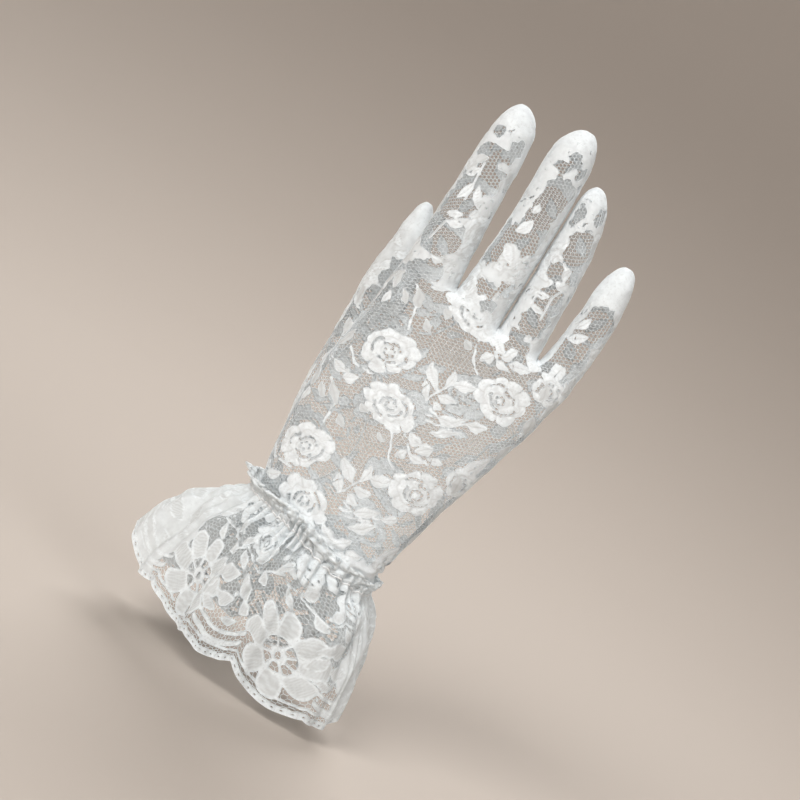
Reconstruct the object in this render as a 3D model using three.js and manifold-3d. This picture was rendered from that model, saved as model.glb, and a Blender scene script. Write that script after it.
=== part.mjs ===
// A lace dress glove for the right hand, in the form that it has when worn, with no hand in it.
// Millimetres. +Z runs from the wrist to the fingertips, -Y is the back of the hand and +Y the palm,
// and the thumb is on the -X side. The origin is the middle of the wrist, where the arm comes in.
// The hand, five finger stalls and a gathered cuff ruffle are thin walls, open inside, with sewn
// seams as strips of their own. The larger fields of open net in the lace are cut through the walls.
import * as THREE from "three";
import { mergeVertices } from "three/addons/utils/BufferGeometryUtils.js";
import Module from "manifold-3d";

const wasm = await Module();
wasm.setup();

// Thickness of the lace wall, and the clearance that every piece keeps from the next.
const WALL = 1.0;
const GAP = 0.3;

// Seam allowance sewn inside the fingers: how thick and how wide the strip is.
const SEAM_THICK = 0.8;
const SEAM_WIDE = 5.0;

// Corners of each cross-section.
const HAND_SIDES = 24;
const FINGER_SIDES = 12;
const WINDOW_SIDES = 6;

// Outside of the hand, a row for each level: the two edges seen from the back of the hand, how
// far the wall stands out on the back of the hand and on the palm, and how round the section is,
// where 1 is an ellipse and less is a rounded rectangle.
const HAND = [
  { z: -12, left: -25.2, right: 25.2, back: 18.2, palm: 18.2, round: 0.86 },
  { z: -4, left: -25.2, right: 25.6, back: 18.0, palm: 18.2, round: 0.86 },
  { z: 6, left: -26.8, right: 27.4, back: 17.4, palm: 18.8, round: 0.86 },
  { z: 14, left: -28.6, right: 29.9, back: 16.6, palm: 19.2, round: 0.84 },
  { z: 28, left: -30.6, right: 33.4, back: 15.6, palm: 19.4, round: 0.8 },
  { z: 44, left: -31.2, right: 38.0, back: 14.6, palm: 18.0, round: 0.76 },
  { z: 60, left: -30.2, right: 42.4, back: 13.8, palm: 15.6, round: 0.7 },
  { z: 74, left: -28.2, right: 46.2, back: 12.8, palm: 13.4, round: 0.64 },
  { z: 88, left: -26.4, right: 49.0, back: 11.4, palm: 10.8, round: 0.58 },
  { z: 94, left: -25.6, right: 49.6, back: 10.2, palm: 9.6, round: 0.56 },
  { z: 97, left: -22.0, right: 46.0, back: 6.6, palm: 6.0, round: 0.6 },
];

// Outside of each finger, from inside the hand to the tip: its two edges seen from the back of the
// hand, the middle of its depth, and half its depth. `cut` is the level of the root, where the
// finger's lace begins, and `from` and `to` are the planes between it and its neighbours.
const FINGERS = {
  index_finger: {
    cut: 103,
    from: -60,
    to: -3.65,
    rows: [
      { z: 84, left: -25.6, right: -1.5, y: -0.4, deep: 10.6 },
      { z: 101, left: -25.4, right: -4.1, y: -0.4, deep: 10.2 },
      { z: 115, left: -25.0, right: -5.4, y: 0.2, deep: 9.5 },
      { z: 130, left: -24.6, right: -6.6, y: 1.0, deep: 8.9 },
      { z: 145, left: -24.5, right: -7.4, y: 2.2, deep: 8.3 },
      { z: 157, left: -24.2, right: -8.3, y: 3.5, deep: 7.5 },
      { z: 164.5, left: -22.8, right: -9.8, y: 4.5, deep: 6.2 },
      { z: 168.6, left: -20.8, right: -13.2, y: 5.1, deep: 4.0 },
      { z: 170.4, left: -18.9, right: -15.9, y: 5.3, deep: 1.6 },
    ],
  },
  middle_finger: {
    cut: 103,
    from: -3.65,
    to: 16.25,
    rows: [
      { z: 84, left: -6.6, right: 18.0, y: -0.6, deep: 11.2 },
      { z: 95, left: -4.6, right: 16.5, y: -0.6, deep: 10.6 },
      { z: 101, left: -3.2, right: 15.9, y: -0.4, deep: 10.2 },
      { z: 120, left: -1.7, right: 15.7, y: 0.4, deep: 9.4 },
      { z: 140, left: -1.3, right: 15.4, y: 1.8, deep: 8.7 },
      { z: 155, left: -1.6, right: 14.9, y: 3.4, deep: 8.0 },
      { z: 165, left: -1.2, right: 13.9, y: 4.7, deep: 6.9 },
      { z: 171, left: 1.2, right: 12.0, y: 5.5, deep: 5.0 },
      { z: 174.4, left: 5.2, right: 9.2, y: 5.9, deep: 1.8 },
    ],
  },
  ring_finger: {
    cut: 98,
    from: 16.25,
    to: 34.4,
    rows: [
      { z: 82, left: 15.4, right: 35.6, y: -0.2, deep: 10.6 },
      { z: 94, left: 16.5, right: 33.8, y: -0.2, deep: 9.8 },
      { z: 110, left: 16.9, right: 33.1, y: 0.4, deep: 9.0 },
      { z: 130, left: 16.9, right: 31.9, y: 1.8, deep: 8.3 },
      { z: 145, left: 16.8, right: 29.9, y: 3.4, deep: 7.3 },
      { z: 153, left: 16.8, right: 27.6, y: 4.3, deep: 6.0 },
      { z: 157.4, left: 17.8, right: 24.8, y: 4.8, deep: 4.0 },
      { z: 159.6, left: 19.4, right: 22.4, y: 5.1, deep: 1.6 },
    ],
  },
  little_finger: {
    cut: 97,
    from: 34.4,
    to: 80,
    rows: [
      { z: 80, left: 31.6, right: 47.4, y: 0.4, deep: 9.8 },
      { z: 92, left: 34.4, right: 49.6, y: 0.6, deep: 8.8 },
      { z: 105, left: 37.0, right: 51.2, y: 1.2, deep: 7.9 },
      { z: 118, left: 38.2, right: 51.6, y: 2.2, deep: 7.3 },
      { z: 128, left: 38.6, right: 51.0, y: 3.2, deep: 6.6 },
      { z: 135, left: 39.8, right: 50.0, y: 4.0, deep: 5.4 },
      { z: 138.8, left: 41.6, right: 48.4, y: 4.5, deep: 3.6 },
      { z: 140.6, left: 43.4, right: 46.6, y: 4.7, deep: 1.6 },
    ],
  },
};

// Outside of the thumb and of the ball of the thumb, which swells from the palm. The thumb leaves
// the palm at its web and lies behind the index finger.
const THUMB = [
  { z: 8, left: -25.0, right: 0.0, y: 6.0, deep: 9.0 },
  { z: 24, left: -30.4, right: -2.4, y: 11.4, deep: 11.6 },
  { z: 42, left: -33.6, right: -7.0, y: 16.8, deep: 12.2 },
  { z: 60, left: -34.4, right: -12.6, y: 21.0, deep: 11.2 },
  { z: 76, left: -34.8, right: -15.8, y: 24.0, deep: 9.9 },
  { z: 92, left: -35.6, right: -17.0, y: 25.8, deep: 9.2 },
  { z: 104, left: -34.4, right: -18.6, y: 26.4, deep: 7.8 },
  { z: 113, left: -33.6, right: -21.4, y: 26.6, deep: 6.2 },
  { z: 119.4, left: -32.2, right: -25.6, y: 26.6, deep: 4.0 },
  { z: 123.2, left: -30.6, right: -27.8, y: 26.6, deep: 1.5 },
];

// The thumb is set in along a slanting ring: from its web, down round the ball of the thumb.
const THUMB_WEB = { y: 13.7, z: 77 };
const THUMB_RING_FOOT = { y: 45, z: 33 };

// Cuff ruffle. It is pinched round the wrist at PINCH_Z, and PINCH_TILT higher than that on the
// thumb's side. Above the pinch a low heading stands up, and below it the flounce falls to the hem
// in folds. A row for each fold goes round from the little finger's side by way of the palm: where
// the ridge is and how far out and how low its hem comes, the same for the valley that follows it,
// how much the fold droops, from 0 for a fan that stands out straight to 1 for cloth that hangs
// down, and how far the heading stands away.
const PINCH_Z = -2;
const PINCH_TILT = 6;
const HEADING_HIGH = 7;
const NECK_HALF = 2.4;
const RUFFLE_EASE = 0.3;
const FOLDS = [
  { ridge: 6, out: 41, low: -48, valley: 20, dip: 34, high: -47, droop: 0.8, heading: 0.8 },
  { ridge: 34, out: 43, low: -52, valley: 50, dip: 32, high: -51, droop: 0.9, heading: 1.6 },
  { ridge: 66, out: 41, low: -54, valley: 82, dip: 30, high: -51, droop: 1.0, heading: 2.4 },
  { ridge: 98, out: 41, low: -53, valley: 114, dip: 32, high: -49, droop: 1.0, heading: 2.8 },
  { ridge: 130, out: 48, low: -49, valley: 142, dip: 40, high: -46, droop: 0.7, heading: 4.5 },
  { ridge: 156, out: 56, low: -44, valley: 166, dip: 50, high: -42, droop: 0.6, heading: 6.5 },
  { ridge: 179, out: 58, low: -33, valley: 191, dip: 50, high: -44, droop: 0.6, heading: 7.0 },
  { ridge: 207, out: 44, low: -50, valley: 221, dip: 34, high: -47, droop: 0.8, heading: 4.0 },
  { ridge: 234, out: 36, low: -53, valley: 249, dip: 30, high: -52, droop: 0.9, heading: 2.0 },
  { ridge: 266, out: 30, low: -53, valley: 295, dip: 30, high: -56, droop: 1.0, heading: 1.6 },
  { ridge: 318, out: 40, low: -58, valley: 329, dip: 42, high: -55, droop: 0.9, heading: 1.2 },
  { ridge: 342, out: 43, low: -53, valley: 354, dip: 38, high: -49, droop: 0.8, heading: 0.8 },
];
const NECK_EDGE = 0.001;
const COLUMNS_PER_FOLD = 5;
const FLOUNCE_ROWS = 4;

// Scallops along the hem, one to a fold and two to each repeat of the border: one with leaves and
// one with a daisy.
const SCALLOPS = FOLDS.length;
const SCALLOP_DEEP = 4.5;

// Gathering seam: the stitched roll that holds the ruffle's gathers at the pinch.
const SEAM_ROLL = 1.1;
const PUCKERS = 36;
const PUCKER_DEEP = 0.45;

// Open net fields of the lace, seen from the back of the hand: the middle of each field, its two
// half-widths and its turn in degrees. The first table is one repeat of the lace, which comes
// again a step lower, and the second is for the fingers.
const NET_REPEAT = { down: 44, across: -9, times: 2 };
const NET_FIELDS = [
  { x: -17, z: 88, wide: 5.5, tall: 4.5, turn: 15 },
  { x: 1, z: 87, wide: 6.5, tall: 4.5, turn: -15 },
  { x: 14, z: 83, wide: 4.5, tall: 4.0, turn: -30 },
  { x: -21, z: 61, wide: 4.5, tall: 2.8, turn: -15 },
  { x: 15, z: 68, wide: 5.0, tall: 2.4, turn: 10 },
  { x: 29, z: 65, wide: 7.5, tall: 3.4, turn: 8 },
  { x: 26, z: 56, wide: 6.5, tall: 2.6, turn: 5 },
  { x: -13, z: 46, wide: 6.5, tall: 3.6, turn: -12 },
];
const FINGER_FIELDS = [
  { finger: "index_finger", x: -15, z: 113, wide: 4.5, tall: 4.5 },
  { finger: "index_finger", x: -16, z: 134, wide: 4.0, tall: 4.5 },
  { finger: "middle_finger", x: 5, z: 116, wide: 3.2, tall: 3.6 },
  { finger: "middle_finger", x: 8, z: 140, wide: 3.4, tall: 7.0 },
  { finger: "ring_finger", x: 25.5, z: 107, wide: 3.4, tall: 4.5 },
  { finger: "ring_finger", x: 24.3, z: 132, wide: 3.0, tall: 5.0 },
  { finger: "little_finger", x: 44, z: 105, wide: 3.2, tall: 4.2 },
  { finger: "little_finger", x: 45, z: 118, wide: 3.0, tall: 5.0 },
];

// Daisy eyelets and net slots in the ruffle's border, in shares of a repeat and of the flounce.
const DAISY_EYELETS = 6;
const DAISY_RING = 5.0;
const EYELET_RADIUS = 1.7;
const DAISY_DOWN = 0.7;
const SLOT_WIDE = 6.5;
const SLOT_TALL = 2.4;
const SLOTS_DOWN = [0.46, 0.74];

// Smooth interpolation of one column of a table whose rows are sorted by `key`.
function smooth(rows, key, column, at) {
  const last = rows.length - 1;
  let i = rows.findIndex((row) => row[key] > at) - 1;
  if (i < 0) i = at <= rows[0][key] ? 0 : last - 1;
  const slope = (k) => {
    const before = rows[Math.max(k - 1, 0)];
    const after = rows[Math.min(k + 1, last)];
    return (after[column] - before[column]) / (after[key] - before[key]);
  };
  const span = rows[i + 1][key] - rows[i][key];
  const t = (at - rows[i][key]) / span;
  const [a, b] = [rows[i][column], rows[i + 1][column]];
  const [ta, tb] = [slope(i) * span, slope(i + 1) * span];
  return (
    a * (1 + 2 * t) * (1 - t) ** 2 +
    ta * t * (1 - t) ** 2 +
    b * t * t * (3 - 2 * t) +
    tb * t * t * (t - 1)
  );
}

// Signed power, for rounded boxes between an ellipse and a rectangle.
const bend = (v, power) => Math.sign(v) * Math.abs(v) ** power;

// How far the outside of the hand reaches from its middle at level z, in one direction.
function handReach(z, cos, sin) {
  const half = smooth(HAND, "z", cos > 0 ? "right" : "left", z);
  const deep = smooth(HAND, "z", sin > 0 ? "palm" : "back", z);
  const power = 2 / smooth(HAND, "z", "round", z);
  return (Math.abs(cos / half) ** power + Math.abs(sin / deep) ** power) ** (-1 / power);
}

// One level cross-section, as a ring of points, with its wall taken in by `inset`.
function ring({ z, left, right, back, palm, round = 1, y = 0 }, sides, inset) {
  const middle = (left + right) / 2;
  const half = Math.max((right - left) / 2 - inset, 0.4);
  const points = [];
  for (let k = 0; k < sides; k++) {
    const angle = (2 * Math.PI * k) / sides;
    const deep = Math.max((Math.sin(angle) > 0 ? palm : back) - inset, 0.4);
    points.push(
      new THREE.Vector3(
        middle + half * bend(Math.cos(angle), round),
        y + deep * bend(Math.sin(angle), round),
        z,
      ),
    );
  }
  return points;
}

// A closed solid through rings of points, which run anticlockwise seen from +Z, lowest ring first.
function loft(rings) {
  const sides = rings[0].length;
  const top = rings.length - 1;
  const position = rings.flat().flatMap((p) => p.toArray());
  const index = [];
  for (let r = 0; r < top; r++)
    for (let k = 0; k < sides; k++) {
      const next = (k + 1) % sides;
      const [a, b] = [r * sides + k, r * sides + next];
      index.push(a, b, b + sides, a, b + sides, a + sides);
    }
  for (let k = 1; k < sides - 1; k++) {
    index.push(0, k + 1, k);
    index.push(top * sides, top * sides + k, top * sides + k + 1);
  }
  return new THREE.BufferGeometry()
    .setAttribute("position", new THREE.Float32BufferAttribute(position, 3))
    .setIndex(index);
}

// A three.js geometry as a manifold-3d solid, and back.
function solid(geometry) {
  const bare = geometry.clone();
  bare.deleteAttribute("normal");
  bare.deleteAttribute("uv");
  const merged = mergeVertices(bare, 1e-4);
  return new wasm.Manifold(
    new wasm.Mesh({
      numProp: 3,
      vertProperties: new Float32Array(merged.attributes.position.array),
      triVerts: new Uint32Array(merged.index.array),
    }),
  );
}

function geometryOf(manifold) {
  const mesh = manifold.getMesh();
  return new THREE.BufferGeometry()
    .setAttribute("position", new THREE.BufferAttribute(mesh.vertProperties, 3))
    .setIndex(new THREE.BufferAttribute(mesh.triVerts, 1));
}

const addAll = (solids) => solids.reduce((all, one) => all.add(one));
const cutAll = (from, cutters) => cutters.reduce((left, one) => left.subtract(one), from);
const largest = (manifold) =>
  manifold.decompose().reduce((a, b) => (a.volume() > b.volume() ? a : b));

// An upright box between two corners.
function block(low, high) {
  const size = high.map((v, k) => v - low[k]);
  const middle = high.map((v, k) => (v + low[k]) / 2);
  return solid(new THREE.BoxGeometry(...size).translate(...middle));
}

// Levels at which a table is lofted: each row, with `extra` more between two rows.
function levels(rows, extra) {
  const found = [];
  for (let i = 0; i < rows.length - 1; i++)
    for (let k = 0; k <= extra; k++)
      found.push(THREE.MathUtils.lerp(rows[i].z, rows[i + 1].z, k / (extra + 1)));
  return [...found, rows.at(-1).z];
}

// The hand as a solid, taken in by `inset` all round. Its lower end stays open when it is cut
// from a larger one, because it reaches below by the same amount.
function handForm(inset) {
  const rings = levels(HAND, 0).map((z) => {
    const row = { z: z > 90 ? z - inset : z };
    for (const name of ["left", "right", "back", "palm", "round"])
      row[name] = smooth(HAND, "z", name, z);
    return ring(row, HAND_SIDES, inset);
  });
  if (inset > 0) rings[0].forEach((p) => (p.z -= inset));
  return solid(loft(rings));
}

// A finger or the thumb as a solid, taken in by `inset`.
function stallForm(rows, inset) {
  const tip = rows.at(-1).z;
  const rings = levels(rows, 0).map((z) => {
    const near = THREE.MathUtils.smoothstep(z, tip - 12, tip);
    const deep = smooth(rows, "z", "deep", z);
    return ring(
      {
        z: z - inset * near,
        left: smooth(rows, "z", "left", z),
        right: smooth(rows, "z", "right", z),
        y: smooth(rows, "z", "y", z),
        back: deep,
        palm: deep,
      },
      FINGER_SIDES,
      inset,
    );
  });
  if (inset > 0) rings[0].forEach((p) => (p.z -= inset));
  return solid(loft(rings));
}

// The hand, its four fingers and the thumb in one, taken in by `inset`.
const gloveForm = (inset) =>
  addAll([
    handForm(inset),
    stallForm(THUMB, inset),
    ...Object.values(FINGERS).map(({ rows }) => stallForm(rows, inset)),
  ]);

// A prism through one wall, for a net field: an ellipse seen along Y, from the middle of the glove
// out through the back of the hand or through the palm.
function netCutter({ x, z, wide, tall, turn = 0 }, side) {
  const oval = new THREE.Shape().absellipse(0, 0, wide, tall, 0, 2 * Math.PI);
  const prism = new THREE.ExtrudeGeometry(new THREE.Shape(oval.getPoints(WINDOW_SIDES)), {
    depth: 40,
    bevelEnabled: false,
  });
  prism.rotateZ(THREE.MathUtils.degToRad(turn));
  prism.rotateX(Math.PI / 2);
  prism.translate(x, side === "back" ? -4 : 44, z);
  return solid(prism);
}

// Net fields of the hand: the repeat again and again down the hand, on the back and on the palm.
// On the palm the fields that lie where the thumb comes out are left out.
function handFields() {
  const cutters = [];
  for (let n = 0; n < NET_REPEAT.times; n++)
    for (const field of NET_FIELDS) {
      const z = field.z - n * NET_REPEAT.down;
      const x = field.x + n * NET_REPEAT.across;
      const left = smooth(HAND, "z", "left", z) + field.wide + 4;
      const right = smooth(HAND, "z", "right", z) - field.wide - 4;
      if (x < left || x > right || z < 8) continue;
      cutters.push(netCutter({ ...field, x, z }, "back"));
      if (x > -1 + field.wide) cutters.push(netCutter({ ...field, x, z }, "palm"));
    }
  return cutters;
}

// Seam allowance as a thin layer that lines the glove, kept only inside `region`.
const seamLayer = gloveForm(WALL + GAP).subtract(gloveForm(WALL + GAP + SEAM_THICK));
const seam = (region) => largest(seamLayer.intersect(region));

// The strip of space beside the middle of the fingers' depth, between two planes across the hand.
function seamRegion(rows, from, to, low, high) {
  const rings = [low, THREE.MathUtils.lerp(low, high, 0.5), high].map((z) => {
    const y = smooth(rows, "z", "y", THREE.MathUtils.clamp(z, rows[0].z, rows.at(-1).z));
    const half = SEAM_WIDE / 2;
    return [
      new THREE.Vector3(from, y - half, z),
      new THREE.Vector3(to, y - half, z),
      new THREE.Vector3(to, y + half, z),
      new THREE.Vector3(from, y + half, z),
    ];
  });
  return solid(loft(rings));
}

// Middle of a finger across the hand, at a level.
const axisOf = (rows, z) => (smooth(rows, "z", "left", z) + smooth(rows, "z", "right", z)) / 2;

// The space of the thumb beyond its ring, as a prism across the glove, moved up by `lift`.
function thumbRegion(lift) {
  const side = new THREE.Shape([
    new THREE.Vector2(THUMB_WEB.y + lift, THUMB_WEB.z),
    new THREE.Vector2(THUMB_RING_FOOT.y + lift, THUMB_RING_FOOT.z),
    new THREE.Vector2(THUMB_RING_FOOT.y + lift, 140),
    new THREE.Vector2(THUMB_WEB.y + lift, 140),
  ]);
  const prism = new THREE.ExtrudeGeometry(side, { depth: 80, bevelEnabled: false });
  prism.applyMatrix4(new THREE.Matrix4().set(0, 0, 1, -70, 1, 0, 0, 0, 0, 1, 0, 0, 0, 0, 0, 1));
  return solid(prism);
}

// Hand, finger stalls and thumb, cut apart at the finger roots and at the thumb's ring.
const whole = gloveForm(0).subtract(gloveForm(WALL));
const above = ({ from, to, cut }, lift) => block([from, -60, cut + lift], [to, 13.5, 260]);

const pieces = {};
pieces.hand = largest(
  cutAll(whole, [
    ...Object.values(FINGERS).map((finger) => above(finger, -GAP / 2)),
    thumbRegion(-GAP / 2),
    ...handFields(),
  ]),
);
for (const [name, finger] of Object.entries(FINGERS)) {
  const fields = FINGER_FIELDS.filter((field) => field.finger === name);
  const stall = whole.intersect(above(finger, GAP / 2));
  pieces[name] = largest(
    cutAll(stall, fields.flatMap((field) => [netCutter(field, "back"), netCutter(field, "palm")])),
  );
}
pieces.thumb = largest(whole.intersect(thumbRegion(GAP / 2)));

// Sewn seams: one down each finger, round the crotch and up the next finger, and a long one from
// the little finger's tip down the outer side of the hand.
const { index_finger, middle_finger, ring_finger, little_finger } = FINGERS;
const betweenFingers = (one, other, low) =>
  seamRegion(one.rows, axisOf(one.rows, 120), axisOf(other.rows, 120), low, 180);
pieces.seam_index_middle = seam(betweenFingers(index_finger, middle_finger, 88));
pieces.seam_middle_ring = seam(betweenFingers(middle_finger, ring_finger, 84));
pieces.seam_ring_little = seam(betweenFingers(ring_finger, little_finger, 82));
pieces.seam_outer_side = seam(
  seamRegion(little_finger.rows, axisOf(little_finger.rows, 120) - 30, 80, -8, 136).intersect(
    addAll([
      block([axisOf(little_finger.rows, 120), -20, 60], [80, 20, 136]),
      block([0, -20, -8], [80, 20, 60]),
    ]),
  ),
);

// Ruffle surface. `around` runs from 0 to 1 round the wrist and `down` from -1 at the top of the
// heading through 0 at the pinch to 1 at the hem.
const HEM = FOLDS.flatMap((f) => [
  { angle: f.ridge, out: f.out, low: f.low, droop: f.droop, heading: f.heading },
  { angle: f.valley, out: f.dip, low: f.high, droop: f.droop, heading: f.heading },
]);
const HEM_ROUND = [
  { ...HEM.at(-1), angle: HEM.at(-1).angle - 360 },
  ...HEM,
  ...HEM.slice(0, 2).map((p) => ({ ...p, angle: p.angle + 360 })),
];

// Fold number as a smooth function of `around`, so that each fold has the same cloth.
function foldAngle(around) {
  const turn = around * FOLDS.length;
  const marks = [...FOLDS, { ridge: FOLDS[0].ridge + 360 }].map((f, k) => ({
    k,
    ridge: f.ridge,
  }));
  return smooth(marks, "k", "ridge", turn);
}

function ruffleAt(around, down) {
  const angle = foldAngle(around);
  const radians = THREE.MathUtils.degToRad(angle);
  const [cos, sin] = [Math.cos(radians), Math.sin(radians)];
  const pinch = PINCH_Z - PINCH_TILT * cos;
  const neck = pinch - Math.sign(down) * NECK_HALF;
  const level = down < 0 ? THREE.MathUtils.lerp(neck, pinch + HEADING_HIGH, -down) : pinch;
  const pucker = PUCKER_DEEP * (1 + Math.cos(2 * Math.PI * PUCKERS * around));
  const start = handReach(level, cos, sin) + GAP + WALL / 2 + RUFFLE_EASE + pucker;
  const hemAngle = angle < HEM[0].angle ? angle + 360 : angle;
  const wrapped = hemAngle > HEM[0].angle + 360 ? hemAngle - 360 : hemAngle;
  const hem = (column) => smooth(HEM_ROUND, "angle", column, wrapped);
  if (down < 0) {
    const out = start + (hem("heading") + pucker) * Math.sin((-down * Math.PI) / 2);
    return new THREE.Vector3(out * cos, out * sin, level);
  }
  const scallop = SCALLOP_DEEP * (1 - Math.abs(Math.sin(Math.PI * SCALLOPS * around)));
  const hemLow = hem("low") + scallop;
  const quarter = (down * Math.PI) / 2;
  const outward = THREE.MathUtils.lerp(down, Math.sin(quarter), hem("droop"));
  const fall = THREE.MathUtils.lerp(down, 1 - Math.cos(quarter), 0.6 * hem("droop"));
  const out = start + (hem("out") - start) * outward;
  return new THREE.Vector3(out * cos, out * sin, neck + (hemLow - neck) * fall);
}

function ruffleNormal(around, down) {
  const step = 1e-3;
  const across = ruffleAt(around + step, down).sub(ruffleAt(around - step, down));
  const along = ruffleAt(around, Math.min(down + step, 1)).sub(ruffleAt(around, down - step));
  return along.cross(across).normalize();
}

// The ruffle as a closed wall: an outer and an inner sheet joined at the heading and at the hem.
function ruffleSolid() {
  const columns = FOLDS.length * COLUMNS_PER_FOLD;
  const downs = [-1, -NECK_EDGE, NECK_EDGE];
  for (let r = 1; r <= FLOUNCE_ROWS; r++) downs.push(r / FLOUNCE_ROWS);
  const sheet = (offset) =>
    downs.map((down) =>
      Array.from({ length: columns }, (_, c) => {
        const around = c / columns;
        return ruffleAt(around, down).addScaledVector(ruffleNormal(around, down), offset);
      }),
    );
  const loop = [...sheet(WALL / 2), ...sheet(-WALL / 2).reverse()];
  const position = loop.flat().flatMap((p) => p.toArray());
  const index = [];
  loop.forEach((row, r) =>
    row.forEach((_, c) => {
      const [nextRow, nextColumn] = [(r + 1) % loop.length, (c + 1) % columns];
      const [a, b] = [r * columns + c, r * columns + nextColumn];
      const [d, e] = [nextRow * columns + c, nextRow * columns + nextColumn];
      index.push(a, e, b, a, d, e);
    }),
  );
  const made = solid(
    new THREE.BufferGeometry()
      .setAttribute("position", new THREE.Float32BufferAttribute(position, 3))
      .setIndex(index),
  );
  return made;
}

// A prism through the ruffle's wall, `across` and `drop` millimetres from a place on it.
function ruffleCutter(around, down, across, drop, wide, tall) {
  const place = ruffleAt(around, down);
  const normal = ruffleNormal(around, down);
  const side = new THREE.Vector3(0, 0, 1).cross(normal).normalize();
  const up = normal.clone().cross(side);
  const prism = new THREE.CylinderGeometry(1, 1, 5, 4).rotateX(Math.PI / 2).scale(wide, tall, 1);
  const frame = new THREE.Matrix4().makeBasis(side, up, normal);
  frame.setPosition(place.addScaledVector(side, across).addScaledVector(up, drop));
  return solid(prism.applyMatrix4(frame));
}

function ruffleFields() {
  const cutters = [];
  const repeats = SCALLOPS / 2;
  for (let n = 0; n < repeats; n++) {
    const leaves = (n + 0.25) / repeats;
    const daisy = (n + 0.75) / repeats;
    for (let k = 0; k < DAISY_EYELETS; k++) {
      const angle = (2 * Math.PI * (k + 0.5)) / DAISY_EYELETS;
      const [across, drop] = [DAISY_RING * Math.cos(angle), DAISY_RING * Math.sin(angle)];
      cutters.push(ruffleCutter(daisy, DAISY_DOWN, across, drop, EYELET_RADIUS, EYELET_RADIUS));
    }
    for (const down of SLOTS_DOWN)
      cutters.push(ruffleCutter(leaves, down, 0, 0, SLOT_WIDE, SLOT_TALL));
  }
  return cutters;
}
pieces.cuff_ruffle = largest(cutAll(ruffleSolid(), ruffleFields()));

// Gathering seam: a puckered roll of thread and lace round the ruffle's pinch.
function gatheringSeam() {
  const columns = PUCKERS * 2;
  const corners = 4;
  const position = [];
  const index = [];
  for (let c = 0; c < columns; c++) {
    const around = c / columns;
    const place = ruffleAt(around, 0);
    const outward = new THREE.Vector3(place.x, place.y, 0).normalize();
    const reach = WALL / 2 + GAP + SEAM_ROLL + PUCKER_DEEP;
    for (let k = 0; k < corners; k++) {
      const angle = (2 * Math.PI * k) / corners;
      const point = place
        .clone()
        .addScaledVector(outward, reach + SEAM_ROLL * Math.cos(angle));
      position.push(point.x, point.y, point.z + SEAM_ROLL * Math.sin(angle));
      const [nextColumn, nextCorner] = [(c + 1) % columns, (k + 1) % corners];
      const [a, b] = [c * corners + k, c * corners + nextCorner];
      const [d, e] = [nextColumn * corners + k, nextColumn * corners + nextCorner];
      index.push(a, e, b, a, d, e);
    }
  }
  return solid(
    new THREE.BufferGeometry()
      .setAttribute("position", new THREE.Float32BufferAttribute(position, 3))
      .setIndex(index),
  );
}
pieces.gathering_seam = gatheringSeam();

// Colours: white lace with a faint cool cast, and slightly brighter sewing thread.
const lace = new THREE.MeshStandardMaterial({ color: 0xe9eef1, roughness: 0.85, metalness: 0 });
const thread = new THREE.MeshStandardMaterial({ color: 0xf4f7f8, roughness: 0.7, metalness: 0 });

const glove = new THREE.Group();
glove.name = "lace_glove";
for (const [name, made] of Object.entries(pieces)) {
  const sewn = name.startsWith("seam") || name === "gathering_seam";
  const mesh = new THREE.Mesh(geometryOf(made), (sewn ? thread : lace).clone());
  mesh.name = name;
  glove.add(mesh);
}

export default glove;
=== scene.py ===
import math

import bpy
import numpy as np
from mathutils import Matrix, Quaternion, Vector


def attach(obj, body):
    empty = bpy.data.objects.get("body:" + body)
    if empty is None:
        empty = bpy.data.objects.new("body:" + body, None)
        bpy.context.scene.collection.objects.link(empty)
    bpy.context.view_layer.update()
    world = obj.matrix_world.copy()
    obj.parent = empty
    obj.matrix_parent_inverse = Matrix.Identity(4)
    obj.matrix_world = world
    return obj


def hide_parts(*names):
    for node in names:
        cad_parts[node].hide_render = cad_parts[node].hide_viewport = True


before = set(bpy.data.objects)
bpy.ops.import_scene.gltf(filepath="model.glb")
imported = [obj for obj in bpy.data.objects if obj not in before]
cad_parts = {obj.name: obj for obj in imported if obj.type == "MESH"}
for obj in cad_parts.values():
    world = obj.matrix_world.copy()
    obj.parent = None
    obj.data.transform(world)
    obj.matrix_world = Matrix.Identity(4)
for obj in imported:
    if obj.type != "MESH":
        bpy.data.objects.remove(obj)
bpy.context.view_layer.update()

MM = 0.001
PATTERN_SEED = 7
rng = np.random.default_rng(PATTERN_SEED)


def unit(v):
    """Vectors of length one in the same directions."""
    return v / np.maximum(np.linalg.norm(v, axis=-1, keepdims=True), 1e-9)


def steps_of(points, axis=0):
    """Lengths of the steps from point to point, along one axis of a line or grid."""
    return np.linalg.norm(np.diff(points, axis=axis), axis=-1)


def arc_of(points, axis=0):
    """How far each point lies from the first one, along a line or grid."""
    return np.insert(np.cumsum(steps_of(points, axis), axis=axis), 0, 0, axis=axis)


def turned(a, b, deg):
    """Coordinates along a direction and across it."""
    cos, sin = math.cos(math.radians(deg)), math.sin(math.radians(deg))
    return cos * a + sin * b, cos * b - sin * a


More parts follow.
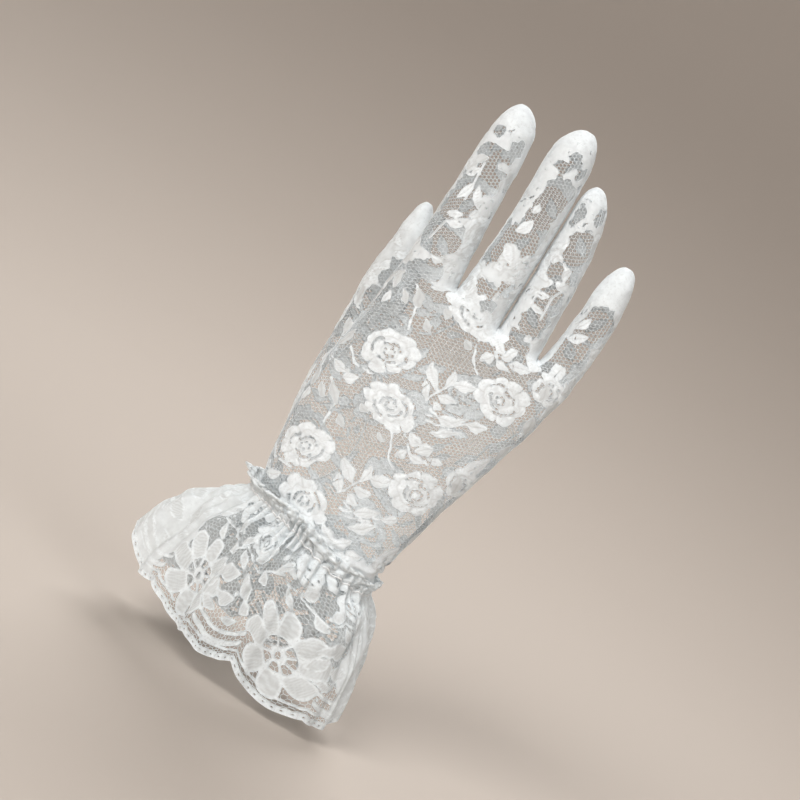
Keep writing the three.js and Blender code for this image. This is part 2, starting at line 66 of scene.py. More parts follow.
# Tables. The outlines of the hand, fingers, thumb and ruffle are the same as in the solids.
class Table:
    """Named columns of measures, keyed by the first one."""

    def __init__(self, names, rows):
        self.names = names.split()
        self.rows = np.array(rows, float)
        self.key = self.rows[:, 0]

    def at(self, name, where):
        """Smooth interpolation of one column, through every row."""
        xs, ys = self.key, self.rows[:, self.names.index(name)]
        slope = np.empty_like(ys)
        slope[1:-1] = (ys[2:] - ys[:-2]) / (xs[2:] - xs[:-2])
        slope[0] = (ys[1] - ys[0]) / (xs[1] - xs[0])
        slope[-1] = (ys[-1] - ys[-2]) / (xs[-1] - xs[-2])
        where = np.clip(where, xs[0], xs[-1])
        i = np.clip(np.searchsorted(xs, where, "right") - 1, 0, len(xs) - 2)
        span = xs[i + 1] - xs[i]
        t = (where - xs[i]) / span
        return (
            ys[i] * (1 + 2 * t) * (1 - t) ** 2
            + slope[i] * span * t * (1 - t) ** 2
            + ys[i + 1] * t * t * (3 - 2 * t)
            + slope[i + 1] * span * t * t * (t - 1)
        )


HAND = Table(
    "z left right back palm round",
    [
        (-12, -25.2, 25.2, 18.2, 18.2, 0.86),
        (-4, -25.2, 25.6, 18.0, 18.2, 0.86),
        (6, -26.8, 27.4, 17.4, 18.8, 0.86),
        (14, -28.6, 29.9, 16.6, 19.2, 0.84),
        (28, -30.6, 33.4, 15.6, 19.4, 0.80),
        (44, -31.2, 38.0, 14.6, 18.0, 0.76),
        (60, -30.2, 42.4, 13.8, 15.6, 0.70),
        (74, -28.2, 46.2, 12.8, 13.4, 0.64),
        (88, -26.4, 49.0, 11.4, 10.8, 0.58),
        (94, -25.6, 49.6, 10.2, 9.6, 0.56),
    ],
)
FINGER_COLUMNS = "z left right y deep"
FINGERS = [
    Table(
        FINGER_COLUMNS,
        [
            (84, -25.6, -1.5, -0.4, 10.6),
            (101, -25.4, -4.1, -0.4, 10.2),
            (115, -25.0, -5.4, 0.2, 9.5),
            (130, -24.6, -6.6, 1.0, 8.9),
            (145, -24.5, -7.4, 2.2, 8.3),
            (157, -24.2, -8.3, 3.5, 7.5),
            (164.5, -22.8, -9.8, 4.5, 6.2),
            (168.6, -20.8, -13.2, 5.1, 4.0),
            (170.4, -18.9, -15.9, 5.3, 1.6),
        ],
    ),
    Table(
        FINGER_COLUMNS,
        [
            (84, -6.6, 18.0, -0.6, 11.2),
            (95, -4.6, 16.5, -0.6, 10.6),
            (101, -3.2, 15.9, -0.4, 10.2),
            (120, -1.7, 15.7, 0.4, 9.4),
            (140, -1.3, 15.4, 1.8, 8.7),
            (155, -1.6, 14.9, 3.4, 8.0),
            (165, -1.2, 13.9, 4.7, 6.9),
            (171, 1.2, 12.0, 5.5, 5.0),
            (174.4, 5.2, 9.2, 5.9, 1.8),
        ],
    ),
    Table(
        FINGER_COLUMNS,
        [
            (82, 15.4, 35.6, -0.2, 10.6),
            (94, 16.5, 33.8, -0.2, 9.8),
            (110, 16.9, 33.1, 0.4, 9.0),
            (130, 16.9, 31.9, 1.8, 8.3),
            (145, 16.8, 29.9, 3.4, 7.3),
            (153, 16.8, 27.6, 4.3, 6.0),
            (157.4, 17.8, 24.8, 4.8, 4.0),
            (159.6, 19.4, 22.4, 5.1, 1.6),
        ],
    ),
    Table(
        FINGER_COLUMNS,
        [
            (80, 31.6, 47.4, 0.4, 9.8),
            (92, 34.4, 49.6, 0.6, 8.8),
            (105, 37.0, 51.2, 1.2, 7.9),
            (118, 38.2, 51.6, 2.2, 7.3),
            (128, 38.6, 51.0, 3.2, 6.6),
            (135, 39.8, 50.0, 4.0, 5.4),
            (138.8, 41.6, 48.4, 4.5, 3.6),
            (140.6, 43.4, 46.6, 4.7, 1.6),
        ],
    ),
]
THUMB = Table(
    FINGER_COLUMNS,
    [
        (8, -25.0, 0.0, 6.0, 9.0),
        (24, -30.4, -2.4, 11.4, 11.6),
        (42, -33.6, -7.0, 16.8, 12.2),
        (60, -34.4, -12.6, 21.0, 11.2),
        (76, -34.8, -15.8, 24.0, 9.9),
        (92, -35.6, -17.0, 25.8, 9.2),
        (104, -34.4, -18.6, 26.4, 7.8),
        (113, -33.6, -21.4, 26.6, 6.2),
        (119.4, -32.2, -25.6, 26.6, 4.0),
        (123.2, -30.6, -27.8, 26.6, 1.5),
    ],
)
# Places of the crotches between the fingers, and levels of the hand's last row at those places
# and at the hand's two sides.
BETWEEN = (-3.65, 16.25, 34.4)
TOP_PLACES = (-26, *BETWEEN, 50)
TOP_ROW = (98.0, 100.5, 95.5, 94.5, 94.0)

# Cloth grid: columns on the back of a finger and on its side, and the length of a cell.
FACE = 18
SIDE = 10
CELL = 1.1
BACK = 4 * FACE
RING = 2 * (BACK + SIDE)
FINGER_RING = 2 * (FACE + SIDE)
THUMB_FACE = 16
HAND_ROWS = 100
# How far the dome over a fingertip reaches down, and the thumb's first row inside the hand.
DOME = 5.2
THUMB_LOW = 11.0
HAND_FOOT, HAND_LAST = HAND.key[0], HAND.key[-1]
# The hand's columns move over to the fingers' places between these levels.
SHARE_FROM, SHARE_TO = 35, 90
# The strips between the fingers: how high they lie at first, and how far they reach each way.
WEB_UP, WEB_HALF = 0.8, 8
# How soft the form is at the hand's top, between fingers and where the thumb leaves the hand.
TOP_SOFT, CROTCH_SOFT, THUMB_SOFT = 5.0, 3.0, 4.0
# The hand's rounded top lies this far over its last row.
TOP_OVER = 0.5
# The fingers take part in the form from here up, and fade away under this level at this rate.
FINGERS_FROM, FADE_UNDER, FADE = 62, 92, 0.25
# Points of a section's outline that the columns are measured along.
OUTLINE_POINTS = 1441
# A fingertip's dome: share of the rounded end in it, how far that rises over the table's, the
# powers of its curve, and the count of levels that the rest of the dome is looked up from.
ROUND_SHARE, ROUND_MORE = 0.6, 0.3
ROUND_POWER, ROUND_FALL = 2.4, 0.8
DOME_LEVELS = 60


# Forms of the worn glove.
class Form:
    """A tube of rounded sections, looked up from a fine table of them."""

    STEP = 0.25

    def __init__(self, table, hand=False):
        low, high = table.key[0], table.key[-1]
        self.low = low
        z = np.arange(low, high + self.STEP, self.STEP)
        left, right = table.at("left", z), table.at("right", z)
        if hand:
            back, palm, power = (table.at(n, z) for n in ("back", "palm", "round"))
            rest = (back, palm, 2 / power, 0 * z)
        else:
            deep = table.at("deep", z)
            rest = (deep, deep, 2 + 0 * z, table.at("y", z))
        self.rows = np.stack([(left + right) / 2, (right - left) / 2, *rest], 1)
        self.high = z[-1]

    def section(self, z):
        """Middle, half width, back, palm, power and y of the section at a level."""
        at = np.clip((z - self.low) / self.STEP, 0, len(self.rows) - 1.001)
        i = at.astype(int)
        t = (at - i)[..., None]
        return np.moveaxis(self.rows[i] * (1 - t) + self.rows[i + 1] * t, -1, 0)

    def point(self, angle, z):
        """The point of the outside at an angle round the section, at level z."""
        middle, half, back, palm, power, y = self.section(z)
        cos, sin = np.cos(angle), np.sin(angle)
        deep = np.where(sin > 0, palm, back)
        return np.stack(
            [
                middle + half * np.sign(cos) * np.abs(cos) ** (2 / power),
                y + deep * np.sign(sin) * np.abs(sin) ** (2 / power),
                z + 0 * angle,
            ],
            -1,
        )

    def distance(self, p):
        """How far a point lies outside the form, along its section."""
        middle, half, back, palm, power, y = self.section(p[..., 2])
        dx, dy = p[..., 0] - middle, p[..., 1] - y
        deep = np.where(dy > 0, palm, back)
        q = (np.abs(dx / half) ** power + np.abs(dy / deep) ** power) ** (1 / power)
        reach = np.hypot(dx, dy)
        return reach - reach / np.maximum(q, 1e-6)


hand_form = Form(HAND, hand=True)
finger_forms = [Form(t) for t in FINGERS]
thumb_form = Form(THUMB)


def soft_min(a, b, k):
    """The lesser of two fields, rounded over a width k where they meet."""
    h = np.clip(0.5 + 0.5 * (b - a) / k, 0, 1)
    return b * (1 - h) + a * h - k * h * (1 - h)


def hand_field(p):
    """Zero on the outside of the hand without its fingers, closed by a rounded top."""
    top = np.interp(p[..., 0], TOP_PLACES, TOP_ROW) + TOP_OVER
    wall = hand_form.distance(p)
    return -soft_min(-wall, top - p[..., 2], TOP_SOFT)


def whole_field(p):
    """Zero on the outside of the hand with its fingers. Low down the fingers fade away."""
    d = hand_field(p)
    high = p[..., 2] > FINGERS_FROM
    if high.any():
        fingers = np.min([f.distance(p[high]) for f in finger_forms], axis=0)
        fingers = fingers + FADE * np.clip(FADE_UNDER - p[high][..., 2], 0, None)
        d[high] = soft_min(d[high], fingers, CROTCH_SOFT)
    return d


def finger_field(n):
    """The field of the hand with one finger."""
    return lambda p: soft_min(hand_field(p), finger_forms[n].distance(p), CROTCH_SOFT)


def project(points, ids, field):
    """Moves the chosen points towards the zero of a field, by two millimetres at most."""
    p = points[ids]
    here = field(p)
    step, least, most = 0.05, 0.05, 2
    slope = np.stack([(field(p + step * axis) - here) / step for axis in np.eye(3)], -1)
    size = np.maximum((slope**2).sum(-1), least)
    move = np.clip(here / size, -most, most)
    points[ids] = p - slope * move[..., None]


# Cloth grid. The back and the palm run up from the wrist into the fingers, and between two
# fingers a strip runs up one side and down the next, as in a sewn glove.
class Pool:
    """Hands out the numbers of the cloth's vertices."""

    count = 0

    def take(self, *shape):
        ids = np.arange(self.count, self.count + int(np.prod(shape))).reshape(shape)
        self.count += ids.size
        return ids


pool = Pool()
hand_ids = pool.take(HAND_ROWS + 1, RING)
web_ids = [pool.take(SIDE - 1) for _ in BETWEEN]


def opposite(column):
    """The palm's column across from a column of the back."""
    return RING - SIDE - column


def finger_root(n):
    """Row of shared vertices that a finger starts from, once round."""
    top = hand_ids[-1]
    low, high = FACE * n, FACE * (n + 1)
    back = top[low : high + 1]
    palm = top[opposite(high) : opposite(low) + 1]
    right = top[BACK + 1 : BACK + SIDE] if n == 3 else web_ids[n]
    left = top[opposite(0) + 1 :] if n == 0 else web_ids[n - 1][::-1]
    return np.concatenate([back, right, palm, left])


finger_top = [t.key[-1] - DOME for t in FINGERS]
finger_ids = []
for n in range(4):
    root_z = (TOP_ROW[n] + TOP_ROW[n + 1]) / 2
    rows = round((finger_top[n] - root_z) / CELL)
    own = pool.take(rows, FINGER_RING)
    finger_ids.append(np.vstack([finger_root(n)[None], own]))


def cap_grid(ring, face):
    """Grid over a fingertip whose rim is the last ring."""
    side = len(ring) // 2 - face
    grid = np.empty((face + 1, side + 1), int)
    grid[:, 0] = ring[: face + 1]
    grid[-1, :] = ring[face : face + side + 1]
    grid[:, -1] = ring[face + side : 2 * face + side + 1][::-1]
    grid[0, 1:] = ring[2 * face + side :][::-1]
    grid[1:-1, 1:-1] = pool.take(face - 1, side - 1)
    return grid.T


finger_caps = [cap_grid(ids[-1], FACE) for ids in finger_ids]
thumb_top = THUMB.key[-1] - DOME
thumb_rows = round((thumb_top - THUMB_LOW) / CELL)
thumb_ids = pool.take(thumb_rows + 1, 2 * (THUMB_FACE + SIDE))
thumb_cap = cap_grid(thumb_ids[-1], THUMB_FACE)
P = np.zeros((pool.count, 3))


def ring_angles(form, z, face, side, split=None, blend=0.0):
    """Angle of each column of a ring that begins at the back's left edge."""
    angle = np.linspace(-math.pi, math.pi, OUTLINE_POINTS)
    line = form.point(angle, np.full(angle.shape, float(z)))
    arc = arc_of(line)
    total = 2 * (face + side)
    cell = arc[-1] / total
    even = cell * (side / 2 + np.arange(total))
    if split is not None and blend > 0:
        turn = np.searchsorted(angle, 0)
        knots = [0, FACE, 2 * FACE, 3 * FACE, face]
        # The back's columns run to +X along the first half of the outline, the palm's run back.
        for first, half, way in ((0, np.s_[:turn], 1), (face + side, np.s_[turn:], -1)):
            own = even[first : first + face + 1]
            marks = np.interp(split, line[half, 0][::way], arc[half][::way])
            left, right = own[[0, -1]][::way]
            fitted = np.interp(np.arange(face + 1), knots, [left, *marks, right])[::way]
            own[:] = own * (1 - blend) + fitted * blend
    return np.interp(even % arc[-1], arc, angle)


top_of_back = np.interp(np.arange(BACK + 1), np.arange(5) * FACE, TOP_ROW)
top_of_ring = np.concatenate(
    [
        top_of_back,
        np.full(SIDE - 1, TOP_ROW[-1]),
        top_of_back[::-1],
        np.full(SIDE - 1, TOP_ROW[0]),
    ]
)
for r in range(HAND_ROWS + 1):
    up = r / HAND_ROWS
    z = HAND_FOOT + (top_of_ring - HAND_FOOT) * up
    level = float(z.mean())
    blend = np.clip((level - SHARE_FROM) / (SHARE_TO - SHARE_FROM), 0, 1) ** 1.5
    angles = ring_angles(hand_form, min(level, HAND_LAST), BACK, SIDE, BETWEEN, blend)
    P[hand_ids[r]] = hand_form.point(angles, z)
for n, ids in enumerate(web_ids):
    z = TOP_ROW[n + 1] + WEB_UP
    y = np.linspace(-WEB_HALF, WEB_HALF, SIDE + 1)[1:-1]
    P[ids] = np.stack([np.full(y.shape, BETWEEN[n]), y, np.full(y.shape, z)], 1)
for n, ids in enumerate(finger_ids):
    form, rows = finger_forms[n], len(ids) - 1
    root_z = P[ids[0], 2]
    for r in range(1, rows + 1):
        z = root_z + (finger_top[n] - root_z) * r / rows
        angles = ring_angles(form, float(z.mean()), FACE, SIDE)
        P[ids[r]] = form.point(angles, z)
for r in range(thumb_rows + 1):
    z = THUMB_LOW + (thumb_top - THUMB_LOW) * r / thumb_rows
    angles = ring_angles(thumb_form, z, THUMB_FACE, SIDE)
    P[thumb_ids[r]] = thumb_form.point(angles, np.full(angles.shape, z))


def fill_cap(grid, form, top):
    """Dome over a fingertip: its rim drawn in along the form, then rounded at the very end."""
    rim = P[grid].copy()
    u = np.linspace(0, 1, grid.shape[0])[:, None, None]
    v = np.linspace(0, 1, grid.shape[1])[None, :, None]
    west, east, south, north = rim[:1], rim[-1:], rim[:, :1], rim[:, -1:]
    made = (1 - u) * west + u * east + (1 - v) * south + v * north
    made -= (1 - u) * (1 - v) * rim[0, 0] + u * (1 - v) * rim[-1, 0]
    made -= (1 - u) * v * rim[0, -1] + u * v * rim[-1, -1]
    middle, half, back, _, _, y = form.section(np.array(top))
    across, deep = (made[..., 0] - middle) / half, (made[..., 1] - y) / back
    share = np.clip(np.hypot(across, deep), 1e-6, 1)
    z = np.linspace(form.high, top, DOME_LEVELS)
    sizes = form.section(z)[1] / half
    level = np.interp(share, sizes, z)
    rise = (1 - share**ROUND_POWER) ** ROUND_FALL
    round_level = top + (form.high + ROUND_MORE - top) * rise
    made[..., 2] = (1 - ROUND_SHARE) * level + ROUND_SHARE * round_level
    lean = form.section(level)[[0, 5]] - np.array([middle, y])[:, None, None]
    made[..., 0] += lean[0]
    made[..., 1] += lean[1]
    P[grid[1:-1, 1:-1]] = made[1:-1, 1:-1]


for n, grid in enumerate(finger_caps):
    fill_cap(grid, finger_forms[n], finger_top[n])
fill_cap(thumb_cap, thumb_form, thumb_top)


def quads_of(ids, closed):
    """Quads of a grid of vertex numbers, each anticlockwise seen from outside."""
    if closed:
        ids = np.hstack([ids, ids[:, :1]])
    quads = [ids[:-1, :-1], ids[:-1, 1:], ids[1:, 1:], ids[1:, :-1]]
    return np.stack([q.ravel() for q in quads], 1)


all_quads = np.concatenate(
    [quads_of(hand_ids, True)]
    + [quads_of(ids, True) for ids in finger_ids]
    + [quads_of(grid, False) for grid in finger_caps]
    + [quads_of(thumb_ids, True), quads_of(thumb_cap, False)]
)
sides = np.concatenate([all_quads[:, [k, (k + 1) % 4]] for k in range(4)])
sides = np.unique(np.sort(sides, 1), axis=0)
degree = np.bincount(sides.ravel(), minlength=len(P))


def neighbour_mean(values):
    """At each vertex, the mean of the vertices that it shares a side with."""
    made = np.empty_like(values)
    for k in range(3):
        total = np.bincount(sides[:, 0], values[sides[:, 1], k], len(P))
        total += np.bincount(sides[:, 1], values[sides[:, 0], k], len(P))
        made[:, k] = total / np.maximum(degree, 1)
    return made


# The grid evens itself out on the form, up to a level on the fingers.
RELAX_ROUNDS = 60
RELAX_SHARE = 0.6
SET_LEVEL = 122
relaxed = np.zeros(len(P), bool)
relaxed[hand_ids[1:]] = True
for ids in web_ids:
    relaxed[ids] = True
for ids in finger_ids:
    relaxed[ids] |= P[ids, 2] < SET_LEVEL
for _ in range(RELAX_ROUNDS):
    pull = neighbour_mean(P) - P
    P[relaxed] += RELAX_SHARE * pull[relaxed]
    for n, ids in enumerate(finger_ids):
        moving = ids[1:][relaxed[ids[1:]]]
        project(P, moving, finger_field(n))
    project(P, hand_ids[1:].ravel(), whole_field)
    for ids in web_ids:
        project(P, ids, whole_field)


def vertex_normals(points, quads):
    """Unit normals of a grid's vertices, out of the cloth."""
    across = points[quads[:, 2]] - points[quads[:, 0]]
    along = points[quads[:, 3]] - points[quads[:, 1]]
    face = np.cross(across, along)
    made = np.zeros_like(points)
    for k in range(4):
        for axis in range(3):
            made[:, axis] += np.bincount(quads[:, k], face[:, axis], len(points))
    return made / np.maximum(np.linalg.norm(made, axis=1, keepdims=True), 1e-9)


def thumb_split(p):
    """Over zero where the thumb's cloth lies outside the hand's."""
    return hand_field(p) - thumb_form.distance(p)


def glove_with_thumb(p):
    """The field of the whole glove, with the thumb let in softly."""
    return soft_min(whole_field(p), thumb_form.distance(p), THUMB_SOFT)


# Noise of the pattern, and the shapes that the lace is made of. A field is the distance to the
# edge of the clothwork in millimetres, over zero inside it.
NOISE_CELLS = 128
NOISE_TABLE = rng.uniform(-1, 1, (NOISE_CELLS, NOISE_CELLS))
# Values of the field in plain net and in solid cloth.
OPEN, SOLID = -9.0, 3.0
# How much wider than their tables' sizes the windows and the leaves are drawn.
WINDOW_MORE = 0.7
LEAF_GROWTH = 1.22
FINGER_LEAF_GROWTH = 1.1
# How squarish windows and the daisy's petals are. Two would make an oval.
SQUARISH = 2.8
# The daisy: its reach, and its petals' count, distance, half length and half width.
DAISY_REACH = 16
PETALS, PETAL_AT, PETAL_LONG, PETAL_WIDE = 8, 10.0, 4.7, 3.5
# Its wheel: radius, radius and half width of the ring of windows, half width of a spoke, and eye.
WHEEL, WHEEL_WINDOWS, WINDOWS_HALF, SPOKE_HALF, EYE = 6.3, 4.1, 1.45, 0.4, 1.5
# One kind of cloth changes to the next over this many millimetres.
CHANGE = 5
# Rows of holes in a rose: share of its size, and the angles that they run between.
PETAL_HOLES = ((0.44, 0, 125), (0.66, 105, 190), (0.5, 215, 300), (0.7, 290, 350))


def noise(u, v, cell, shift=0.0):
    """Smooth noise from -1 to 1, with waves about as long as a cell."""
    a, b = u / cell + 17.3 + shift, v / cell + 41.7 + 2.3 * shift
    i, j = np.floor(a).astype(int), np.floor(b).astype(int)
    s, t = a - i, b - j
    s, t = s * s * (3 - 2 * s), t * t * (3 - 2 * t)
    i, j = i % (NOISE_CELLS - 1), j % (NOISE_CELLS - 1)
    low = NOISE_TABLE[i, j] * (1 - s) + NOISE_TABLE[i + 1, j] * s
    high = NOISE_TABLE[i, j + 1] * (1 - s) + NOISE_TABLE[i + 1, j + 1] * s
    return low * (1 - t) + high * t


def warped(u, v, strength=1.0):
    """The pattern's coordinates, pulled a little out of true as in a soft cloth."""
    du = 0.8 * noise(u, v, 5.5, 3) + 0.45 * noise(u, v, 2.3, 8)
    dv = 0.8 * noise(u, v, 5.5, 14) + 0.45 * noise(u, v, 2.3, 19)
    return u + strength * du, v + strength * dv


def groove(distance, width):
    """One along a line and nothing beside it, with soft flanks."""
    return np.exp(-((distance / width) ** 2))


def squarish(a, b):
    """How far out a place lies in a squarish oval: one at its edge."""
    return (np.abs(a) ** SQUARISH + np.abs(b) ** SQUARISH) ** (1 / SQUARISH)


class Lace:
    """Clothwork on a net. tone runs from 0 in dense white cloth to 1 in thin cloth, and in
    grooves, where it stands for painted shade.
    """

    def __init__(self, u, v, base):
        self.u, self.v = u, v
        self.s = np.full(u.shape, base)
        self.tone = np.zeros(u.shape)

    def local(self, x, z, deg, reach):
        """The points about a place, and their coordinates along a direction and across it."""
        pick = (np.abs(self.u - x) < reach) & (np.abs(self.v - z) < reach)
        return pick, *turned(self.u[pick] - x, self.v[pick] - z, deg)

    def add(self, pick, value):
        self.s[pick] = np.maximum(self.s[pick], value)

    def cut(self, pick, value):
        self.s[pick] = np.minimum(self.s[pick], -value)

    def shade(self, pick, inside, tone):
        self.tone[pick] = np.where(inside > 0, np.clip(tone, 0, 1), self.tone[pick])

    def cover(self, value):
        """Adds clothwork over the whole field."""
        self.s = np.maximum(self.s, value)

    def lay_over(self, value, tone):
        """Adds clothwork that has a tone of its own where it shows."""
        self.tone = np.where((value > self.s) & (value > 0), tone, self.tone)
        self.cover(value)

    def roughen(self, rough):
        """Makes the edges of the clothwork uneven."""
        self.s += np.where(self.s > -2, rough, 0)

    def leaf(self, x, z, length, width, deg, half=False, edged=False):
        """A pointed leaf, a little bent, with a groove along its middle and across it."""
        pick, a, b = self.local(x, z, deg, length)
        q = 2 * a / length
        b = b - 0.5 * (q * q - 0.4) * width * 0.35
        inside = width / 2 * (1 - np.abs(q) ** 1.6) - np.abs(b)
        inside = inside + 0.12 * np.sin(a * 3.3) * (np.abs(b) > width / 5)
        # Painted shade: the tone darkens the groove along the middle and the ribs across the leaf.
        vein = groove(b, 0.2) * (np.abs(q) < 0.8)
        rib = 0.35 * np.sin((a - np.abs(b) * 0.8) * 5.2) ** 2
        if half:
            self.shade(pick, inside, 0.62 + 0.3 * vein)
            inside = inside - 0.1
        elif edged:
            ribs = 0.34 + 0.36 * np.sin((a - np.abs(b) * 0.8) * 3.2) ** 2
            self.shade(pick, inside, ribs * np.clip((inside - 0.45) * 3, 0, 1))
        else:
            self.shade(pick, inside, np.maximum(0.75 * vein, rib))
        self.add(pick, inside)

    def stem(self, points, width=0.34):
        """A thin stem through some points."""
        for (x0, z0), (x1, z1) in zip(points, points[1:]):
            reach = math.hypot(x1 - x0, z1 - z0) / 2 + 2
            deg = math.degrees(math.atan2(z1 - z0, x1 - x0))
            pick, a, b = self.local((x0 + x1) / 2, (z0 + z1) / 2, deg, reach)
            over = np.maximum(np.abs(a) - (reach - 2), 0)
            self.add(pick, width - np.hypot(over, b))

    def hole(self, x, z, wide, high, deg=0.0):
        """An oval hole, its half sizes given."""
        pick, a, b = self.local(x, z, deg, max(wide, high) + 3)
        q = np.hypot(a / wide, b / high)
        self.cut(pick, (1 - q) * min(wide, high))

    def window(self, x, z, wide, high, deg=0.0):
        """A field of open net with an uneven edge."""
        wide, high = wide + 1.5 * WINDOW_MORE, high + WINDOW_MORE
        pick, a, b = self.local(x, z, deg, max(wide, high) + 4)
        u, v = self.u[pick], self.v[pick]
        rough = 0.9 * noise(u, v, 2.1) + 0.4 * noise(u, v, 0.9, 3)
        self.cut(pick, (1 - squarish(a / wide, b / high)) * min(wide, high) + rough)

    def ring_of_holes(self, x, z, radius, count, size, first=0, last=360, flat=1.0, deg=0):
        """Small holes along an oval, or along its part between two angles."""
        cos, sin = math.cos(math.radians(deg)), math.sin(math.radians(deg))
        for k in range(count):
            turn = math.radians(first + (last - first) * (k + 0.5) / count)
            a, b = radius * math.cos(turn), radius * flat * math.sin(turn)
            along = math.degrees(math.atan2(b, a)) + deg + 90
            self.hole(x + cos * a - sin * b, z + sin * a + cos * b, size * 1.25, size, along)

    def rose(self, x, z, wide, high, deg, petals=7, kind=0):
        """Mottled petals about an eye, with painted shade in the grooves between them and short
        rows of holes along their edges.
        """
        pick, a, b = self.local(x, z, deg, 0.66 * max(wide, high))
        q = np.hypot(2 * a / wide, 2 * b / high)
        turn = np.arctan2(b / high, a / wide) + 0.35 * kind
        size = (wide + high) / 4
        lobes = np.abs(np.sin(petals * turn / 2 + 0.7 * np.sin(turn + 2 * kind)))
        uneven = 0.07 * np.sin(2 * turn + 2 * kind) + 0.05 * np.sin(3 * turn + 1 + kind)
        inside = (0.86 + 0.14 * lobes**0.6 + uneven - q) * size
        self.add(pick, inside)
        between = q * size * lobes * 2 / petals
        self.cut(pick, np.where(q > 0.84, 0.2 - between, -1))
        inner = 0.58 + 0.08 * lobes
        mottle = 0.4 * np.clip(noise(a, b, 1.4, 4 * kind) + 0.5 * noise(a, b, 0.7, kind), 0, 1)
        # Painted shade: the tone darkens the grooves between the petals and round the inner rings,
        # over a mottle that differs at random.
        tone = np.maximum(mottle, 0.6 * groove(between, 0.28) * (q > inner))
        tone = np.maximum(tone, 0.6 * groove((q - inner) * size, 0.26))
        tone = np.maximum(tone, 0.5 * groove((q - 0.3) * size, 0.3))
        self.shade(pick, inside, tone)
        flat = high / wide
        self.ring_of_holes(x, z, size * 0.2, 6, 0.55, flat=0.85, deg=deg)
        start = 70 * kind + 15
        for radius, first, last in PETAL_HOLES:
            count = round(radius * size * math.radians(last - first) / 1.45)
            first, last = start + first, start + last
            self.ring_of_holes(x, z, size * radius, count, 0.56, first, last, flat, deg)

    def daisy(self, x, z):
        """Eight petals of ribbed cloth round a wheel of open windows."""
        pick, a, b = self.local(x, z, 0, DAISY_REACH)
        centre = np.hypot(a, b)
        for k in range(PETALS):
            along, across = turned(a, b, 360 / PETALS * k + 8)
            out = squarish((along - PETAL_AT) / PETAL_LONG, across / PETAL_WIDE)
            inside = (1 - out) * PETAL_WIDE
            # The petals' cloth is a little thin, and the bands between its ribs are darkened as
            # painted shade.
            ribs = 0.34 + 0.36 * np.sin(along * 3.2 + 0.5 * np.sin(across * 2)) ** 2
            self.shade(pick, inside, ribs * np.clip((inside - 0.5) * 3, 0, 1))
            self.add(pick, inside)
        self.add(pick, WHEEL - centre)
        self.shade(pick, WHEEL - centre, 0 * centre)
        self.cut(pick, WINDOWS_HALF - np.abs(centre - WHEEL_WINDOWS))
        for k in range(PETALS):
            along, across = turned(a, b, 360 / PETALS * k + 30)
            spoke = np.where(along > 0, SPOKE_HALF - np.abs(across), OPEN)
            self.add(pick, np.minimum(spoke, WHEEL - 0.1 - centre))
        self.cut(pick, EYE - np.hypot(a * 1.5, b))


# Roses of the pattern: place, width, height, turn, petals and kind.
ROSES = [
    (-12.5, 71.5, 21, 16, 10, 8, 0),
    (-2, 55, 21, 15.5, -5, 8, 1),
    (30.5, 78, 21, 15.5, 5, 8, 2),
    (44, 89, 14, 12, 0, 7, 3),
]
# Leaves: place, length, width and turn. The half leaves are of thinner cloth.
LEAVES = [
    (5.5, 72.5, 8, 3.6, -45), (11.5, 74.5, 6, 3, 80), (17, 75, 8, 3.4, 25), (5, 67, 6, 3, -50),
    (13.5, 68, 6, 3, 10), (12, 64, 5, 2.6, -20), (19.5, 63, 9, 3, 30), (27.5, 65, 6, 3, 25),
    (20, 57.5, 8, 3, 30), (-24, 58, 7, 3, -10), (-18.5, 56.5, 6, 3, 30), (36.5, 53, 9, 5, 60),
    (12, 50, 6, 3, -30), (17, 49, 6, 3, 40), (16, 45, 5, 2.6, -10), (22, 47, 6, 3, 10),
    (18, 88, 5, 3, 60), (-24, 87, 5, 2.6, 80),
]
HALF_LEAVES = [
    (9.5, 88, 5, 3, -20), (-6, 86, 6, 3.4, -30), (-14, 93, 8, 3.6, -50), (-18.5, 91, 7, 3, -50),
    (-2, 93.5, 5, 3, -20), (-31, 84, 10, 4.4, 75), (-35, 75, 9, 4.2, 105), (-30, 67, 9, 4, 60),
    (-37, 62, 9, 4.4, 80), (-33, 51, 9, 4, 115), (-29, 94, 8, 3.6, 60), (-38, 88, 8, 4, 95),
]
STEMS = [
    [(7, 64), (10, 70), (12, 73)],
    [(19, 81), (15, 84), (12, 92)],
    [(-17, 97), (-12, 90), (-11, 82)],
    [(10, 62), (18, 60), (28, 66)],
    [(10, 59.6), (22, 62.5)],
    [(11, 57.6), (22, 60.4)],
    [(-26, 66), (-21, 62), (-12, 62)],
    [(8, 50), (13, 46), (20, 44)],
    [(-30, 96), (-33, 88), (-33, 79), (-36, 70), (-34, 61), (-36, 52)],
]
# The pattern comes again at these steps, down the cloth and across it.
REPEAT = (-8, -44)
ACROSS = 80
# Dense cloth at the crotches: place and half sizes.
GUSSETS = [(-4, 102, 4.2, 4.2), (16.2, 98.5, 6.0, 6.0), (34.4, 97, 3.8, 5.0)]


def repeats_of(x_low, x_high, z_low, z_high):
    """The shifts of all the repeats that reach into a part of the cloth."""
    for i in range(-1, 3):
        for j in range(-2, 2):
            dx, dz = REPEAT[0] * i + ACROSS * j, REPEAT[1] * i
            if x_low < dx + 90 and x_high > dx - 60 and z_low < dz + 110 and z_high > dz + 30:
                yield dx, dz


